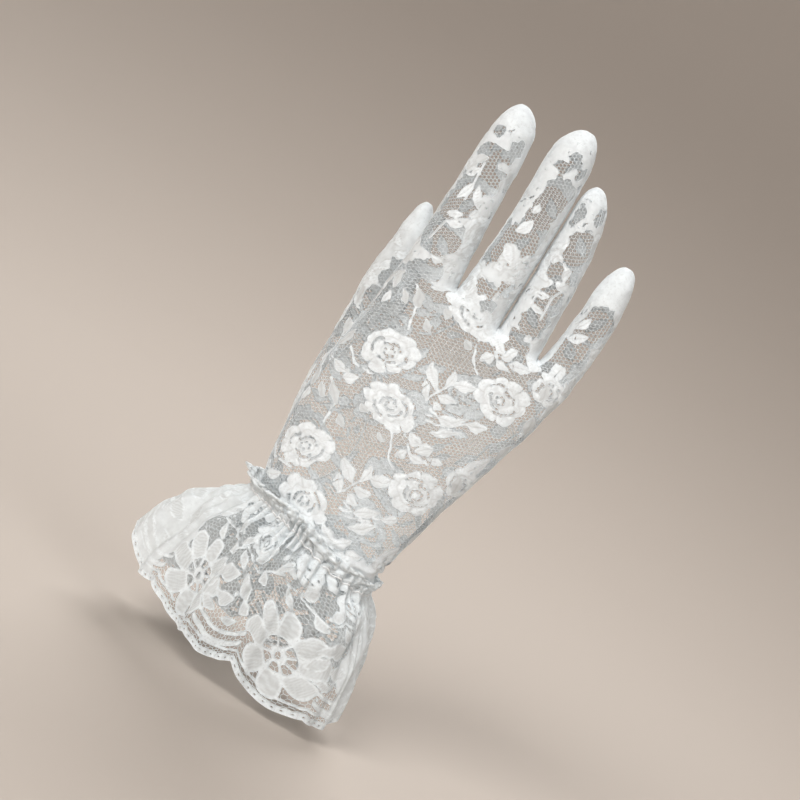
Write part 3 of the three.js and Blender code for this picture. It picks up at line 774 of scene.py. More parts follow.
def motifs(u, v):
    """The all-over pattern: roses and sprays of leaves."""
    lace = Lace(*warped(u, v), OPEN)
    for dx, dz in repeats_of(u.min(), u.max(), v.min(), v.max()):
        for x, z, *shape in HALF_LEAVES:
            lace.leaf(x + dx, z + dz, *shape, half=True)
        for line in STEMS:
            lace.stem([(x + dx, z + dz) for x, z in line])
        for x, z, length, width, deg in LEAVES:
            lace.leaf(x + dx, z + dz, LEAF_GROWTH * length, LEAF_GROWTH * width, deg)
        for x, z, *shape in ROSES:
            lace.rose(x + dx, z + dz, *shape)
    lace.roughen(0.2 * noise(u, v, 1.5) + 0.16 * noise(u, v, 0.8, 5))
    return lace


def hand_lace(u, v):
    """The cloth of the hand: the pattern on open net."""
    lace = motifs(u, v)
    lace.u, lace.v = u, v
    # The clothwork closes up at the crotches and in the crumpled cloth under the ruffle.
    for x, z, wide, high in GUSSETS:
        pick, a, b = lace.local(x, z, 0, 9)
        lace.add(pick, (1 - np.hypot(a / wide, b / high)) * 3 + 0.5 * noise(a, b, 1.6))
    low = np.where(v < 12, 2.8 * noise(u, v, 5, 2) + 0.8 * noise(u, v, 2, 6) + 2.5 - v, OPEN)
    lace.lay_over(low, 0.16 + 0.2 * noise(u, v, 1.8, 29))
    return lace


# Windows on the back of each finger: place, half sizes and turn.
WINDOWS = [
    [
        (-19.5, 116.5, 7.6, 7.0), (-19, 128.5, 6.8, 4.6, 14), (-19, 137, 6.0, 3.6),
        (-14, 140, 3.0, 3.6), (-16, 144.5, 4.6, 2.2), (-18, 150.6, 7.0, 2.4, 6),
        (-21.5, 158, 1.6, 2.2), (-11.5, 156, 1.8, 2.4), (-17, 103, 6.4, 3.0, 14),
    ],
    [
        (9, 148, 5.0, 7.6, -8), (8.4, 133.5, 4.8, 8.0, 10), (-1.5, 125, 3.0, 8.5),
        (8.3, 163, 2.6, 1.9, -40), (5.0, 159.0, 1.8, 1.3), (12.5, 160.0, 1.0, 1.6),
        (4.8, 108.5, 2.6, 2.0), (11, 112, 2.0, 1.7), (9.5, 103.5, 2.2, 1.6),
    ],
    [
        (26, 137, 3.8, 7.0, 15), (27, 116.5, 4.4, 4.8, -5), (26, 107.0, 4.6, 4.4, 8),
        (22.5, 126.5, 2.4, 2.4), (30, 127, 1.2, 2.0), (23, 99.5, 3.4, 2.4), (26.5, 151, 1.4, 2.4),
        (18.5, 147, 1.4, 3.2),
    ],
    [(45.5, 117, 5.2, 7.4, -14), (43.5, 104.5, 5.2, 6.4, 12)],
]
# Levels from which the fingertips are solid, and how thin their cloth looks.
TIPS = [163, 170, 156.5, 126.5]
TIP_TONE = 0.12
FINGER_LEAVES = [
    [
        (-19.5, 134, 8, 3, 70), (-14.5, 134, 8, 3, -60), (-21.5, 141, 6, 3, 40),
        (-18.5, 125, 6, 2.6, 20), (-16.5, 121.8, 6, 2.4, 15), (-12.5, 128.5, 4, 2.2, 60),
    ],
    [(5, 134, 7, 4, 60), (5.2, 141.5, 4, 2.4, 80)],
    [(23, 117, 5, 2.5, 10), (24, 111.8, 6, 2.0, -10)],
    [(41, 116, 6, 3, 60), (41.5, 110.5, 8, 3.4, 30)],
]
FINGER_STEMS = [
    [[(-19, 146), (-18.5, 138), (-18, 131)], [(-22, 113), (-20, 121), (-13, 126)]],
    [],
    [[(29, 123), (26.5, 118), (27, 109)]],
    [],
]
# Windows on the palm's side of a finger, between the fingertip and the root.
PALM_WINDOWS = [
    [(0, 112, 6.4, 7.0), (1.5, 129, 6.0, 7.5, 10), (-1, 146, 6.2, 5.0), (5, 154, 2, 3)],
    [(0, 111, 6.0, 6.0), (1, 127, 6.4, 7.5, -8), (-1, 144, 6.4, 7.5, 8), (1, 160, 4, 3)],
    [(0, 107, 5.6, 6.0), (0.6, 122, 5.4, 7.0, 8), (-0.5, 138, 5.0, 6.5, -8), (0, 149, 3, 2)],
    [(0, 104, 5.4, 6.0), (0.4, 117, 5.0, 5.6, -10)],
]
# Between these levels the hand's pattern gives way to the finger's.
ROOT_LOW, ROOT_TOP = 97.5, 106.0


def finger_lace(n, u, v, middle, girth, hand_u):
    """One finger's cloth: solid, with windows of net on its back and its palm side."""
    lace = Lace(u, v, SOLID)
    for side in (-girth / 2, girth / 2):
        for k, (x, z, *shape) in enumerate(PALM_WINDOWS[n]):
            lace.window(middle + side + x, z, *shape)
            lace.leaf(middle + side + x - 1, z + 1, 9, 3.6, 40 + 70 * (k % 2))
    for x, z, *shape in WINDOWS[n]:
        lace.window(x, z, *shape)
    # Thinner cloth lies between the motifs of the pattern, which carries on from the hand.
    under = motifs(u + 9 * n, v - 7)
    thin = 0.34 * np.clip(0.5 - under.s, 0, 1) + 0.6 * groove(under.s, 0.3)
    lace.tone = np.maximum(under.tone * (under.s > 0), thin)
    for x, z, length, width, deg in FINGER_LEAVES[n]:
        lace.leaf(x, z, FINGER_LEAF_GROWTH * length, FINGER_LEAF_GROWTH * width, deg)
    for line in FINGER_STEMS[n]:
        lace.stem(line)
    eyelets = noise(u, v, 1.15, 11) + 0.55 * noise(u, v, 5, 4)
    lace.s = np.where((lace.s > 0.9) & (eyelets > 0.7), -0.4, lace.s)
    tip = np.clip((v - TIPS[n]) / CHANGE + 1, 0, 1)
    lace.cover((v - TIPS[n]) * 0.8)
    lace.tone = lace.tone * (1 - tip) + TIP_TONE * tip
    low = v < ROOT_TOP + 1
    root = hand_lace(hand_u[low], v[low])
    blend = np.clip((v[low] - ROOT_LOW + 1.5 * noise(u[low], v[low], 3)) / CHANGE, 0, 1)
    lace.s[low] = np.clip(lace.s[low], -2, 2) * blend + np.clip(root.s, -2, 2) * (1 - blend)
    lace.tone[low] = lace.tone[low] * blend + root.tone * (1 - blend)
    return lace


THUMB_WINDOWS = [
    (-30, 104, 2.6, 2), (-31, 98, 2.8, 3), (-31, 88, 4, 5.5), (-27, 74, 3.5, 5),
    (-20, 92, 3.4, 6), (-14, 106, 2.5, 3),
]
# Sprays of three leaves on the end of the thumb, one to each place of a lattice.
THUMB_SPRAY = [(0, 0, 9, 4.0, 62), (4.4, 1.2, 7.5, 3.6, -38), (-3.8, -2.6, 7, 3.2, 8)]
SPRAY_PLACE, SPRAY_ACROSS, SPRAY_UP = (-24, 88), 13.5, 8.5
SPRAY_ROWS, SPRAY_REACH = 4, 5
# Levels from which the thumb's cloth closes up, its tip turns plain, and the tip is solid.
THUMB_CLOSE, THUMB_TIP, THUMB_END = 84, 108, 112


def thumb_lace(u, v):
    """The thumb's cloth: the hand's pattern low down, sprays with windows above it."""
    lace = hand_lace(u - 4, v + 6)
    high = np.clip((v - THUMB_CLOSE + noise(u, v, 3)) / CHANGE, 0, 1)
    spray = Lace(*warped(u, v), OPEN)
    for row in range(SPRAY_ROWS):
        for k in range(-SPRAY_REACH, SPRAY_REACH + 1):
            x = SPRAY_ACROSS * (k + 0.5 * (row % 2)) + SPRAY_PLACE[0]
            z = SPRAY_PLACE[1] + SPRAY_UP * row
            for dx, dz, *shape in THUMB_SPRAY:
                spray.leaf(x + dx, z + dz, *shape)
    lace.s = np.clip(lace.s, -2, 2) * (1 - high) + 2 * high
    thin = 0.4 + 0.16 * noise(u, v, 1.6, 21) + 0.4 * groove(spray.s, 0.25)
    tone = np.where(spray.s > 0.15, spray.tone, np.clip(thin, 0, 1))
    lace.tone = lace.tone * (1 - high) + high * tone
    for x, z, *shape in THUMB_WINDOWS:
        lace.window(x, z, *shape)
    lace.cover((v - THUMB_END) * 0.8)
    tip = np.clip((v - THUMB_TIP) / CHANGE, 0, 1)
    lace.tone = lace.tone * (1 - tip) + TIP_TONE * tip
    return lace


# The ruffle's pattern: how often it comes round, its width, and its leaves and vine.
RUFFLE_REPEATS, RUFFLE_REPEAT = 6, 48.0
RUFFLE_LEAVES = [
    (-11, 27.5, 13, 6.0, 24), (0.5, 27.5, 13, 5.0, -52), (-6, 20.5, 10, 5.6, 10),
    (5.5, 20.5, 8, 4.4, -38), (-10.5, 14.6, 8, 3.8, -4), (1.5, 14.6, 8, 3.4, 4),
    (-15, 21.0, 7, 4.4, 50), (-14, 39.6, 8, 4, 40), (-8.5, 34.2, 7.5, 3.6, -38),
    (-1, 40.2, 8, 4, 34), (5, 33.4, 7, 3.6, -48), (11, 39.6, 8, 4, 48), (18.5, 33.8, 7, 3.4, -36),
    (24, 41.4, 8, 4, 46), (30, 34.6, 7, 3.6, -44),
]
RUFFLE_VINE = [(-4, 35), (1, 38), (7, 37.4), (13, 35), (19, 37)]
RUFFLE_VINE += [(26, 36), (33, 38.6), (40, 37), (44, 35)]
# Bands that follow the scallops: level and half width.
RUFFLE_BANDS = ((7.4, 0.95), (11.4, 0.7))
# Step of the eyelets along the edge, and their level.
EYELET_STEP, EYELET_LEVEL = 2.4, 1.25
# Places round the ruffle, in shares of a turn, where its cloth is folded close: at the thumb's
# side, where it flares out wide, and at the other side.
SHEER_PLACES = ((0.462, 0.115), (0.955, 0.085))


def ruffle_lace(s, t, top):
    """The border lace: a daisy and a spray of leaves by turns, over curved bands at the edge."""
    lace = Lace(*warped(s, t, 0.45), OPEN)
    place = (s % RUFFLE_REPEAT) / RUFFLE_REPEAT
    # Curved bands follow the leaf's scallop, over the first half of the repeat.
    bow = np.abs(np.sin(2 * math.pi * place))
    leaf_half = place < 0.5
    for low, wide in RUFFLE_BANDS:
        band = wide - np.abs(t - low + 1.2 * bow)
        lace.s = np.where(leaf_half, np.maximum(lace.s, band), lace.s)
    lace.cover(2.4 + 0.3 * noise(s, t, 1.2, 8) - t)
    lace.cover(0.4 - np.abs(t - 4.4 - 0.3 * bow))
    for n in range(-1, RUFFLE_REPEATS + 2):
        base = RUFFLE_REPEAT * n
        for x, z, length, width, deg in RUFFLE_LEAVES:
            lace.leaf(base + 12 + x, z, length, width, deg, edged=True)
        lace.rose(base + 6, 45, 17, 12, 0, 7, 1)
        lace.rose(base + 32, 47, 15, 11, 20, 7, 2)
        lace.stem([(base + x, z) for x, z in RUFFLE_VINE])
        lace.daisy(base + 36, 17.5)
    lace.roughen(0.12 * noise(s, t, 1.7, 2) + 0.08 * noise(s, t, 0.8, 6))
    around = s / (RUFFLE_REPEATS * RUFFLE_REPEAT)
    sheer = OPEN
    for middle, half in SHEER_PLACES:
        off = np.abs((around - middle + 0.5) % 1 - 0.5)
        edge = (half - off) * 60 + 1.2 * noise(s, t, 6, 3) + 0.6 * noise(s, t, 2, 9)
        sheer = np.maximum(sheer, edge)
    sheer = np.minimum(sheer, 0.6 + 1.4 * noise(s, t, 3.4, 27) + 1.1)
    thin = 0.36 + 0.16 * noise(s, t, 4, 12)
    lace.tone = np.where((lace.s < 0.15) & (sheer > 0), thin, lace.tone)
    lace.cover(np.minimum(sheer, 1))
    lace.cover(np.maximum(1.5 - t, 0.9 + 0.5 * noise(s, t, 2) - (top - t)))
    # The cloth lies close and double about the gathers.
    near = np.clip(1 - (top - 8 - t) / 17, 0, 1) ** 1.3
    close = 2.3 * near - 1.5 + 1.7 * noise(s, t, 2.6, 16)
    lace.lay_over(close, np.clip(0.18 + 0.34 * noise(s, t, 1.7, 33), 0, 1))
    # A row of small eyelets in the band along the edge.
    step = (s + EYELET_STEP / 2) % EYELET_STEP - EYELET_STEP / 2
    eyelet = np.hypot(step, 1.2 * (t - EYELET_LEVEL)) - 0.5
    lace.s = np.where(t < 2.6, np.minimum(lace.s, eyelet), lace.s)
    return lace


# Fine grids of cloth, and the meshes cut from them.
class Patch:
    """A grid of cloth: points, normals, pattern coordinates, and the lace laid on it."""

    def __init__(self, name, points, normals, u, v):
        self.name, self.p, self.n, self.u, self.v = name, points, normals, u, v
        self.mask = np.full(u.shape, 99.0)
        self.lace = self.tone = None

    def dress(self, lace):
        """Takes the clothwork and its tone from a piece of lace."""
        self.lace, self.tone = lace.s, lace.tone

    def cut_columns(self, name, first, last):
        """The part of the patch between two columns, both kept."""
        keep = np.s_[:, first : last + 1]
        made = Patch(name, self.p[keep], self.n[keep], self.u[keep], self.v[keep])
        made.mask, made.lace, made.tone = self.mask[keep], self.lace[keep], self.tone[keep]
        return made


def sampled(grid, rows, columns):
    """A grid looked up at even steps, between its own rows and columns."""
    r = np.linspace(0, grid.shape[0] - 1, rows)
    c = np.linspace(0, grid.shape[1] - 1, columns)
    i = np.minimum(r.astype(int), grid.shape[0] - 2)
    j = np.minimum(c.astype(int), grid.shape[1] - 2)
    extra = (1,) * (grid.ndim - 2)
    s, t = (r - i).reshape(-1, 1, *extra), (c - j).reshape(1, -1, *extra)
    low = grid[i][:, j] * (1 - t) + grid[i][:, j + 1] * t
    high = grid[i + 1][:, j] * (1 - t) + grid[i + 1][:, j + 1] * t
    return low * (1 - s) + high * s


def refined(grid, parts):
    """The same grid with each cell divided evenly into parts."""
    rows, columns = grid.shape[:2]
    return sampled(grid, parts * (rows - 1) + 1, parts * (columns - 1) + 1)


# Parts that a cell of the grid is divided into.
HAND_PARTS = 3
FINGER_PARTS = 2
# Columns at which the tubes are opened, along their outer sides.
HAND_OPENING = BACK + SIDE // 2
FINGER_OPENING = FACE + SIDE // 2
THUMB_OPENING = THUMB_FACE + SIDE // 2
# Depths of the dents and the level creases of the worn cloth.
DENT, CREASE = 0.26, 0.13
# The hand's cloth meets the thumb's where x and z are under the first two and y over the last.
THUMB_EAST, THUMB_HIGH, THUMB_BACK = 16, 92, -6
# The cloth above the pinch at the wrist is bunched up below this level, this deep.
BUNCH_TOP, BUNCH_DEEP = 13, 1.5


def ring_patch(name, ids, opening, middle, parts):
    """A tube of cloth opened at one column, measured from its middle column."""
    count = ids.shape[1]
    order = (np.arange(count + 1) + opening) % count
    points = refined(P[ids[:, order]], parts)
    normals = unit(refined(N[ids[:, order]], parts))
    arc = arc_of(points, axis=1)
    at = parts * ((middle - opening) % count)
    u = arc - arc[:, at : at + 1] + points[:, at : at + 1, 0]
    return Patch(name, points, normals, u, points[..., 2].copy())


# The hand's cloth and the bared part of the thumb's are drawn to one soft form.
near_thumb = (P[hand_ids, 1] > THUMB_BACK) & (P[hand_ids, 0] < THUMB_EAST)
near_thumb = hand_ids[near_thumb & (P[hand_ids, 2] < THUMB_HIGH)]
bared = thumb_ids[thumb_split(P[thumb_ids]) > -3]
for _ in range(3):
    project(P, near_thumb, glove_with_thumb)
    project(P, bared, glove_with_thumb)
N = vertex_normals(P, all_quads)
# The worn cloth isn't smooth: it has shallow dents and small level creases.
across = P[:, 0] + 0.6 * P[:, 1]
dents = DENT * noise(across, P[:, 2], 7, 33) + CREASE * noise(across, 1.7 * P[:, 2], 3.6, 18)
P += N * dents[:, None]
N = vertex_normals(P, all_quads)

hand_patch = ring_patch("hand", hand_ids, HAND_OPENING, BACK // 2, HAND_PARTS)
hand_patch.dress(hand_lace(hand_patch.u, hand_patch.v))
at_thumb = (hand_patch.p[..., 2] < THUMB_HIGH) & (hand_patch.p[..., 0] < THUMB_EAST)
hand_patch.mask[at_thumb] = -thumb_split(hand_patch.p[at_thumb])
# The cloth above the pinch is bunched up in level creases.
low = np.clip((BUNCH_TOP - hand_patch.v) / 12, 0, 1) ** 1.2
crease = noise(hand_patch.u, hand_patch.v * 3.4, 9, 21)
crease = crease + 0.5 * noise(hand_patch.u, hand_patch.v * 2.6, 4, 5)
hand_patch.p += hand_patch.n * (BUNCH_DEEP * low * (0.7 + crease))[..., None]
# Painted shade: the valleys of the creases are darkened through the tone.
hand_patch.tone = np.clip(hand_patch.tone + 0.3 * low * np.clip(-crease, 0, 1), 0, 1)
fold = HAND_PARTS * (RING - SIDE // 2 - HAND_OPENING)
patches = [
    hand_patch.cut_columns("hand_palm_lace", 0, fold),
    hand_patch.cut_columns("hand_back_lace", fold, HAND_PARTS * RING),
]


def hand_u_on(n, patch):
    """The hand's pattern coordinate carried up a finger from its root."""
    order = (np.arange(FINGER_RING + 1) + FINGER_OPENING) % FINGER_RING
    column = finger_ids[n][0, order] - hand_ids[-1, 0]
    shared = (column >= 0) & (column < RING)
    at = HAND_PARTS * ((column - HAND_OPENING) % RING)
    if n == 3:
        at[0], at[-1] = 0, hand_patch.u.shape[1] - 1
    root_u = np.where(shared, hand_patch.u[-1, np.clip(at, 0, HAND_PARTS * RING)], 0)
    shift = root_u - patch.u[0, ::FINGER_PARTS]
    places = np.arange(FINGER_RING + 1)
    nearest = places[shared][np.abs(places[:, None] - places[shared][None]).argmin(1)]
    fine = np.arange(FINGER_PARTS * FINGER_RING + 1) / FINGER_PARTS
    fine = np.interp(fine, places, shift[nearest])
    return patch.u + fine


FINGER_NAMES = ["index", "middle", "ring", "little"]
for n, name in enumerate(FINGER_NAMES):
    patch = ring_patch(name + "_lace", finger_ids[n], FINGER_OPENING, FACE // 2, FINGER_PARTS)
    girth = float(np.median(patch.u[:, -1] - patch.u[:, 0]))
    at_middle = FINGER_PARTS * (FACE // 2 + FINGER_RING - FINGER_OPENING)
    middle = float(np.median(patch.p[:, at_middle, 0]))
    patch.dress(finger_lace(n, patch.u, patch.v, middle, girth, hand_u_on(n, patch)))
    patches.append(patch)
thumb_patch = ring_patch("thumb_lace", thumb_ids, THUMB_OPENING, THUMB_FACE // 2, FINGER_PARTS)
thumb_patch.dress(thumb_lace(thumb_patch.u, thumb_patch.v))
thumb_patch.mask = thumb_split(thumb_patch.p)
patches.append(thumb_patch)
cap_patches = {}
for name, grid in zip(FINGER_NAMES + ["thumb"], finger_caps + [thumb_cap]):
    points = refined(P[grid], FINGER_PARTS)
    normals = unit(refined(N[grid], FINGER_PARTS))
    patch = Patch(name + "_cap", points, normals, points[..., 0], points[..., 1])
    patch.lace = np.full(patch.u.shape, SOLID)
    patch.tone = np.full(patch.u.shape, TIP_TONE)
    cap_patches[name + "_lace"] = [patch]


# Polygons kept of a quad a, b, c, d, by which of its corners are inside, and the cut edges.
CASES = {
    1: ["a ab da"],
    2: ["b bc ab"],
    3: ["a b bc da"],
    4: ["c cd bc"],
    5: ["a ab da", "c cd bc"],
    6: ["b c cd ab"],
    7: ["a b c cd da"],
    8: ["d da cd"],
    9: ["a ab cd d"],
    10: ["b bc ab", "d da cd"],
    11: ["a b bc cd d"],
    12: ["c d da bc"],
    13: ["a ab bc c d"],
    14: ["b c d da ab"],
    15: ["a b c d"],
}


def lerp_at(a, b, t):
    """Values, or points, part of the way from one to the other."""
    return a + (b - a) * (t[..., None] if a.ndim > t.ndim else t)


def new_object(name, data):
    """An object in the scene, unmoved and unscaled."""
    made = bpy.data.objects.new(name, data)
    bpy.context.scene.collection.objects.link(made)
    return made


class Mesh:
    """Vertices and faces gathered for one object."""

    def __init__(self):
        self.points, self.uvs, self.tones, self.faces, self.edges = [], [], [], [], []
        self.count = 0

    def add(self, points, faces=(), uvs=None, edges=None, tones=None):
        """Takes in points with the faces or the edges between them, numbered from nought."""
        points = np.asarray(points).reshape(-1, 3)
        self.points.append(points)
        self.uvs.append(points[:, [0, 2]] if uvs is None else np.asarray(uvs).reshape(-1, 2))
        self.tones.append(np.zeros(len(points)) if tones is None else tones.ravel())
        for group in faces:
            if len(group):
                self.faces.append(np.asarray(group) + self.count)
        if edges is not None and len(edges):
            self.edges.append(np.asarray(edges) + self.count)
        self.count += len(points)

    def object(self, name, material=None):
        """A new object: a surface if there are faces, otherwise bare edges."""
        points = np.concatenate(self.points) * MM
        uvs = np.concatenate(self.uvs)
        mesh = bpy.data.meshes.new(name)
        if self.faces:
            used = np.zeros(len(points), bool)
            for group in self.faces:
                used[group] = True
            number = np.cumsum(used) - 1
            loops = np.concatenate([number[g].ravel() for g in self.faces])
            corner_uvs = uvs[used][loops]
            sizes = np.concatenate([np.full(len(g), g.shape[1]) for g in self.faces])
            points = points[used]
            mesh.vertices.add(len(points))
            mesh.vertices.foreach_set("co", points.ravel())
            mesh.loops.add(len(loops))
            mesh.loops.foreach_set("vertex_index", loops.astype(np.int32))
            mesh.polygons.add(len(sizes))
            starts = np.concatenate([[0], np.cumsum(sizes)[:-1]])
            mesh.polygons.foreach_set("loop_start", starts.astype(np.int32))
            mesh.polygons.foreach_set("loop_total", sizes.astype(np.int32))
            mesh.polygons.foreach_set("use_smooth", np.ones(len(sizes), bool))
            layer = mesh.uv_layers.new(name="weave")
            layer.data.foreach_set("uv", corner_uvs.ravel())
            tones = mesh.attributes.new("tone", "FLOAT", "POINT")
            tones.data.foreach_set("value", np.concatenate(self.tones)[used])
        else:
            edges = np.concatenate(self.edges)
            mesh.vertices.add(len(points))
            mesh.vertices.foreach_set("co", points.ravel())
            mesh.edges.add(len(edges))
            mesh.edges.foreach_set("vertices", edges.ravel().astype(np.int32))
        mesh.update(calc_edges=True)
        mesh.validate()
        if material:
            mesh.materials.append(material)
        return new_object(name, mesh)


# How far the clothwork lies outside the net, and how high its relief and its puckers are.
LIFT, RELIEF, PUCKER = 0.08, 0.16, 0.07


def cloth_of(patch, mesh, outline):
    """Adds the clothwork of a patch, cut at the zero of its field."""
    field = np.minimum(patch.lace, patch.mask)
    rows, cols = field.shape
    height = LIFT + RELIEF * np.clip(patch.lace / 0.9, 0, 1) * (1 - 0.7 * patch.tone)
    height += PUCKER * np.clip(patch.lace, 0, 1) * noise(patch.u, patch.v, 1.5, 37)
    points = patch.p + patch.n * height[..., None]
    uv = np.stack([patch.u, patch.v], -1)
    grids = [points.reshape(-1, 3)]
    uvs = [uv.reshape(-1, 2)]
    tones = [patch.tone.ravel()]
    number = np.arange(rows * cols).reshape(rows, cols)

    def crossing(first, second):
        """Adds the points where the field is zero between neighbours, and numbers them."""
        a, b = field[first], field[second]
        gap = np.where(np.abs(a - b) < 1e-9, 1e-9, a - b)
        t = np.clip(a / gap, 0.1, 0.9)
        grids.append(lerp_at(points[first], points[second], t).reshape(-1, 3))
        uvs.append(lerp_at(uv[first], uv[second], t).reshape(-1, 2))
        tones.append(lerp_at(patch.tone[first], patch.tone[second], t).ravel())
        base = sum(len(g) for g in grids[:-1])
        return base + np.arange(a.size).reshape(a.shape)

    left, right = np.s_[:, :-1], np.s_[:, 1:]
    low, high = np.s_[:-1, :], np.s_[1:, :]
    flat_edges, rising = crossing(left, right), crossing(low, high)
    corner = {
        "a": number[:-1, :-1],
        "b": number[:-1, 1:],
        "c": number[1:, 1:],
        "d": number[1:, :-1],
        "ab": flat_edges[:-1],
        "bc": rising[:, 1:],
        "cd": flat_edges[1:],
        "da": rising[:, :-1],
    }
    inside = field > 0
    code = inside[:-1, :-1] + 2 * inside[:-1, 1:] + 4 * inside[1:, 1:] + 8 * inside[1:, :-1]
    faces, cuts = [], []
    for case, polygons in CASES.items():
        pick = code == case
        if not pick.any():
            continue
        for polygon in polygons:
            words = polygon.split()
            faces.append(np.stack([corner[w][pick] for w in words], 1))
            ends = [w for w in words if len(w) == 2]
            if ends:
                cuts.append(np.stack([corner[w][pick] for w in ends], 1))
    made = np.concatenate(grids)
    mesh.add(made, faces, np.concatenate(uvs), tones=np.concatenate(tones))
    if cuts:
        cuts = np.concatenate(cuts)
        used, ends = np.unique(cuts, return_inverse=True)
        outline.add(made[used], edges=ends.reshape(-1, 2))


# The net: its cells' width and half height, how far the zigzags swing, and how deep under the
# edge of the clothwork and of the patch it goes on.
NET_WIDE, NET_HIGH = 1.4, 0.68
NET_SHIFT = 0.15
NET_UNDER, NET_OVER_EDGE = 0.4, 0.4


def net_of(patch, mesh):
    """Adds a hexagonal net: threads that run up in zigzags, tied across by turns."""
    wide, high = steps_of(patch.p, 1).sum(1).mean(), steps_of(patch.p).sum(0).mean()
    rows, columns = round(high / NET_HIGH) + 1, round(wide / NET_WIDE) + 1
    base = sampled(patch.p, rows, columns)
    lace, mask = sampled(patch.lace, rows, columns), sampled(patch.mask, rows, columns)
    side = np.gradient(base, axis=1)
    r, c = np.indices(lace.shape)
    sign = np.where((r + c) % 2 == 0, 1.0, -1.0)
    sign[:, [0, -1]] = 0
    points = base + side * (NET_SHIFT * sign)[..., None]
    keep = (lace < NET_UNDER) & (mask > -NET_OVER_EDGE)
    number = np.arange(keep.size).reshape(keep.shape)
    up = keep[:-1] & keep[1:]
    edges = np.stack([number[:-1][up], number[1:][up]], 1)
    mesh.add(points, edges=edges)
    across = keep[:, :-1] & keep[:, 1:] & ((r + c) % 2 == 0)[:, :-1]
    ends = np.stack([points[:, :-1][across], points[:, 1:][across]], 1)
    mesh.add(ends, edges=np.arange(ends.shape[0] * 2).reshape(-1, 2))


def feed(tree, node, inputs):
    """Gives a node's inputs values or links."""
    for name, value in inputs.items():
        if isinstance(value, bpy.types.NodeSocket):
            tree.links.new(value, node.inputs[name])
        else:
            node.inputs[name].default_value = value


def node_adder(tree):
    """A function that adds a node, sets its options and feeds its inputs."""

    def add(kind, inputs=None, **options):
        node = tree.nodes.new(kind)
        for name, value in options.items():
            setattr(node, name, value)
        feed(tree, node, inputs or {})
        return node.outputs

    return add


# Threads: chains of edges made into tubes by Geometry Nodes.
def threads_group():
    """The node tree of the threads, and the identifiers of its inputs."""
    group = bpy.data.node_groups.new("threads", "GeometryNodeTree")
    face = group.interface
    face.new_socket("Geometry", in_out="INPUT", socket_type="NodeSocketGeometry")
    radius = face.new_socket("Radius", in_out="INPUT", socket_type="NodeSocketFloat")
    sides_in = face.new_socket("Sides", in_out="INPUT", socket_type="NodeSocketInt")
    finish = face.new_socket("Material", in_out="INPUT", socket_type="NodeSocketMaterial")
    face.new_socket("Geometry", in_out="OUTPUT", socket_type="NodeSocketGeometry")
    add = node_adder(group)
    start = add("NodeGroupInput")
    curve = add("GeometryNodeMeshToCurve", {"Mesh": start["Geometry"]})
    circle = add(
        "GeometryNodeCurvePrimitiveCircle",
        {"Radius": start["Radius"], "Resolution": start["Sides"]},
    )
    tube = add(
        "GeometryNodeCurveToMesh", {"Curve": curve["Curve"], "Profile Curve": circle["Curve"]}
    )
    smooth = add("GeometryNodeSetShadeSmooth", {"Geometry": tube["Mesh"]})
    real = add("GeometryNodeRealizeInstances", {"Geometry": smooth["Geometry"]})
    paint = add(
        "GeometryNodeSetMaterial", {"Geometry": real["Geometry"], "Material": start["Material"]}
    )
    add("NodeGroupOutput", {"Geometry": paint["Geometry"]})
    return group, radius.identifier, sides_in.identifier, finish.identifier


THREADS = threads_group()


def as_threads(source, name, radius, sides_count, material):
    """A plain mesh of tubes along the edges of an object, which it takes the place of."""
    group, radius_id, sides_id, finish_id = THREADS
    modifier = source.modifiers.new("threads", "NODES")
    modifier.node_group = group
    modifier[radius_id] = radius * MM
    modifier[sides_id] = sides_count
    modifier[finish_id] = material
    source.update_tag()
    graph = bpy.context.evaluated_depsgraph_get()
    mesh = bpy.data.meshes.new_from_object(source.evaluated_get(graph), depsgraph=graph)
    mesh.name = name
    bpy.data.objects.remove(source)
    return new_object(name, mesh)


def joined(name, parts):
    """One object made of several, in the order of their materials."""
    context = {"active_object": parts[0], "selected_editable_objects": parts}
    with bpy.context.temp_override(**context):
        bpy.ops.object.join()
    parts[0].name = parts[0].data.name = name
    return parts[0]


# Materials
def new_material(name):
    """A material, its node tree and the node of its surface."""
    material = bpy.data.materials.new(name)
    material.use_nodes = True
    return material, material.node_tree, material.node_tree.nodes["Principled BSDF"]


# Clouds and flecks in the cotton, in waves to a metre, how dark a fleck gets, and the spans of
# the noise over which they come in.
CLOUDS, FLECKS, FLECK = 420, 1250, 0.38
CLOUD_SPAN, FLECK_SPAN = (0.3, 0.62), (0.52, 0.7)
RELIEF_STRENGTH, SHEEN_ROUGH, GLOSS = 0.35, 0.4, 0.25
# Shares of the colour in the cloud's darker parts, and in thin cloth and in the painted shade of
# grooves and creases.
CLOUD_SHARE, THIN_AND_SHADE_SHARE = 0.86, 0.6
THIN_AND_SHADE_TINT = (1, 0.97, 0.94)


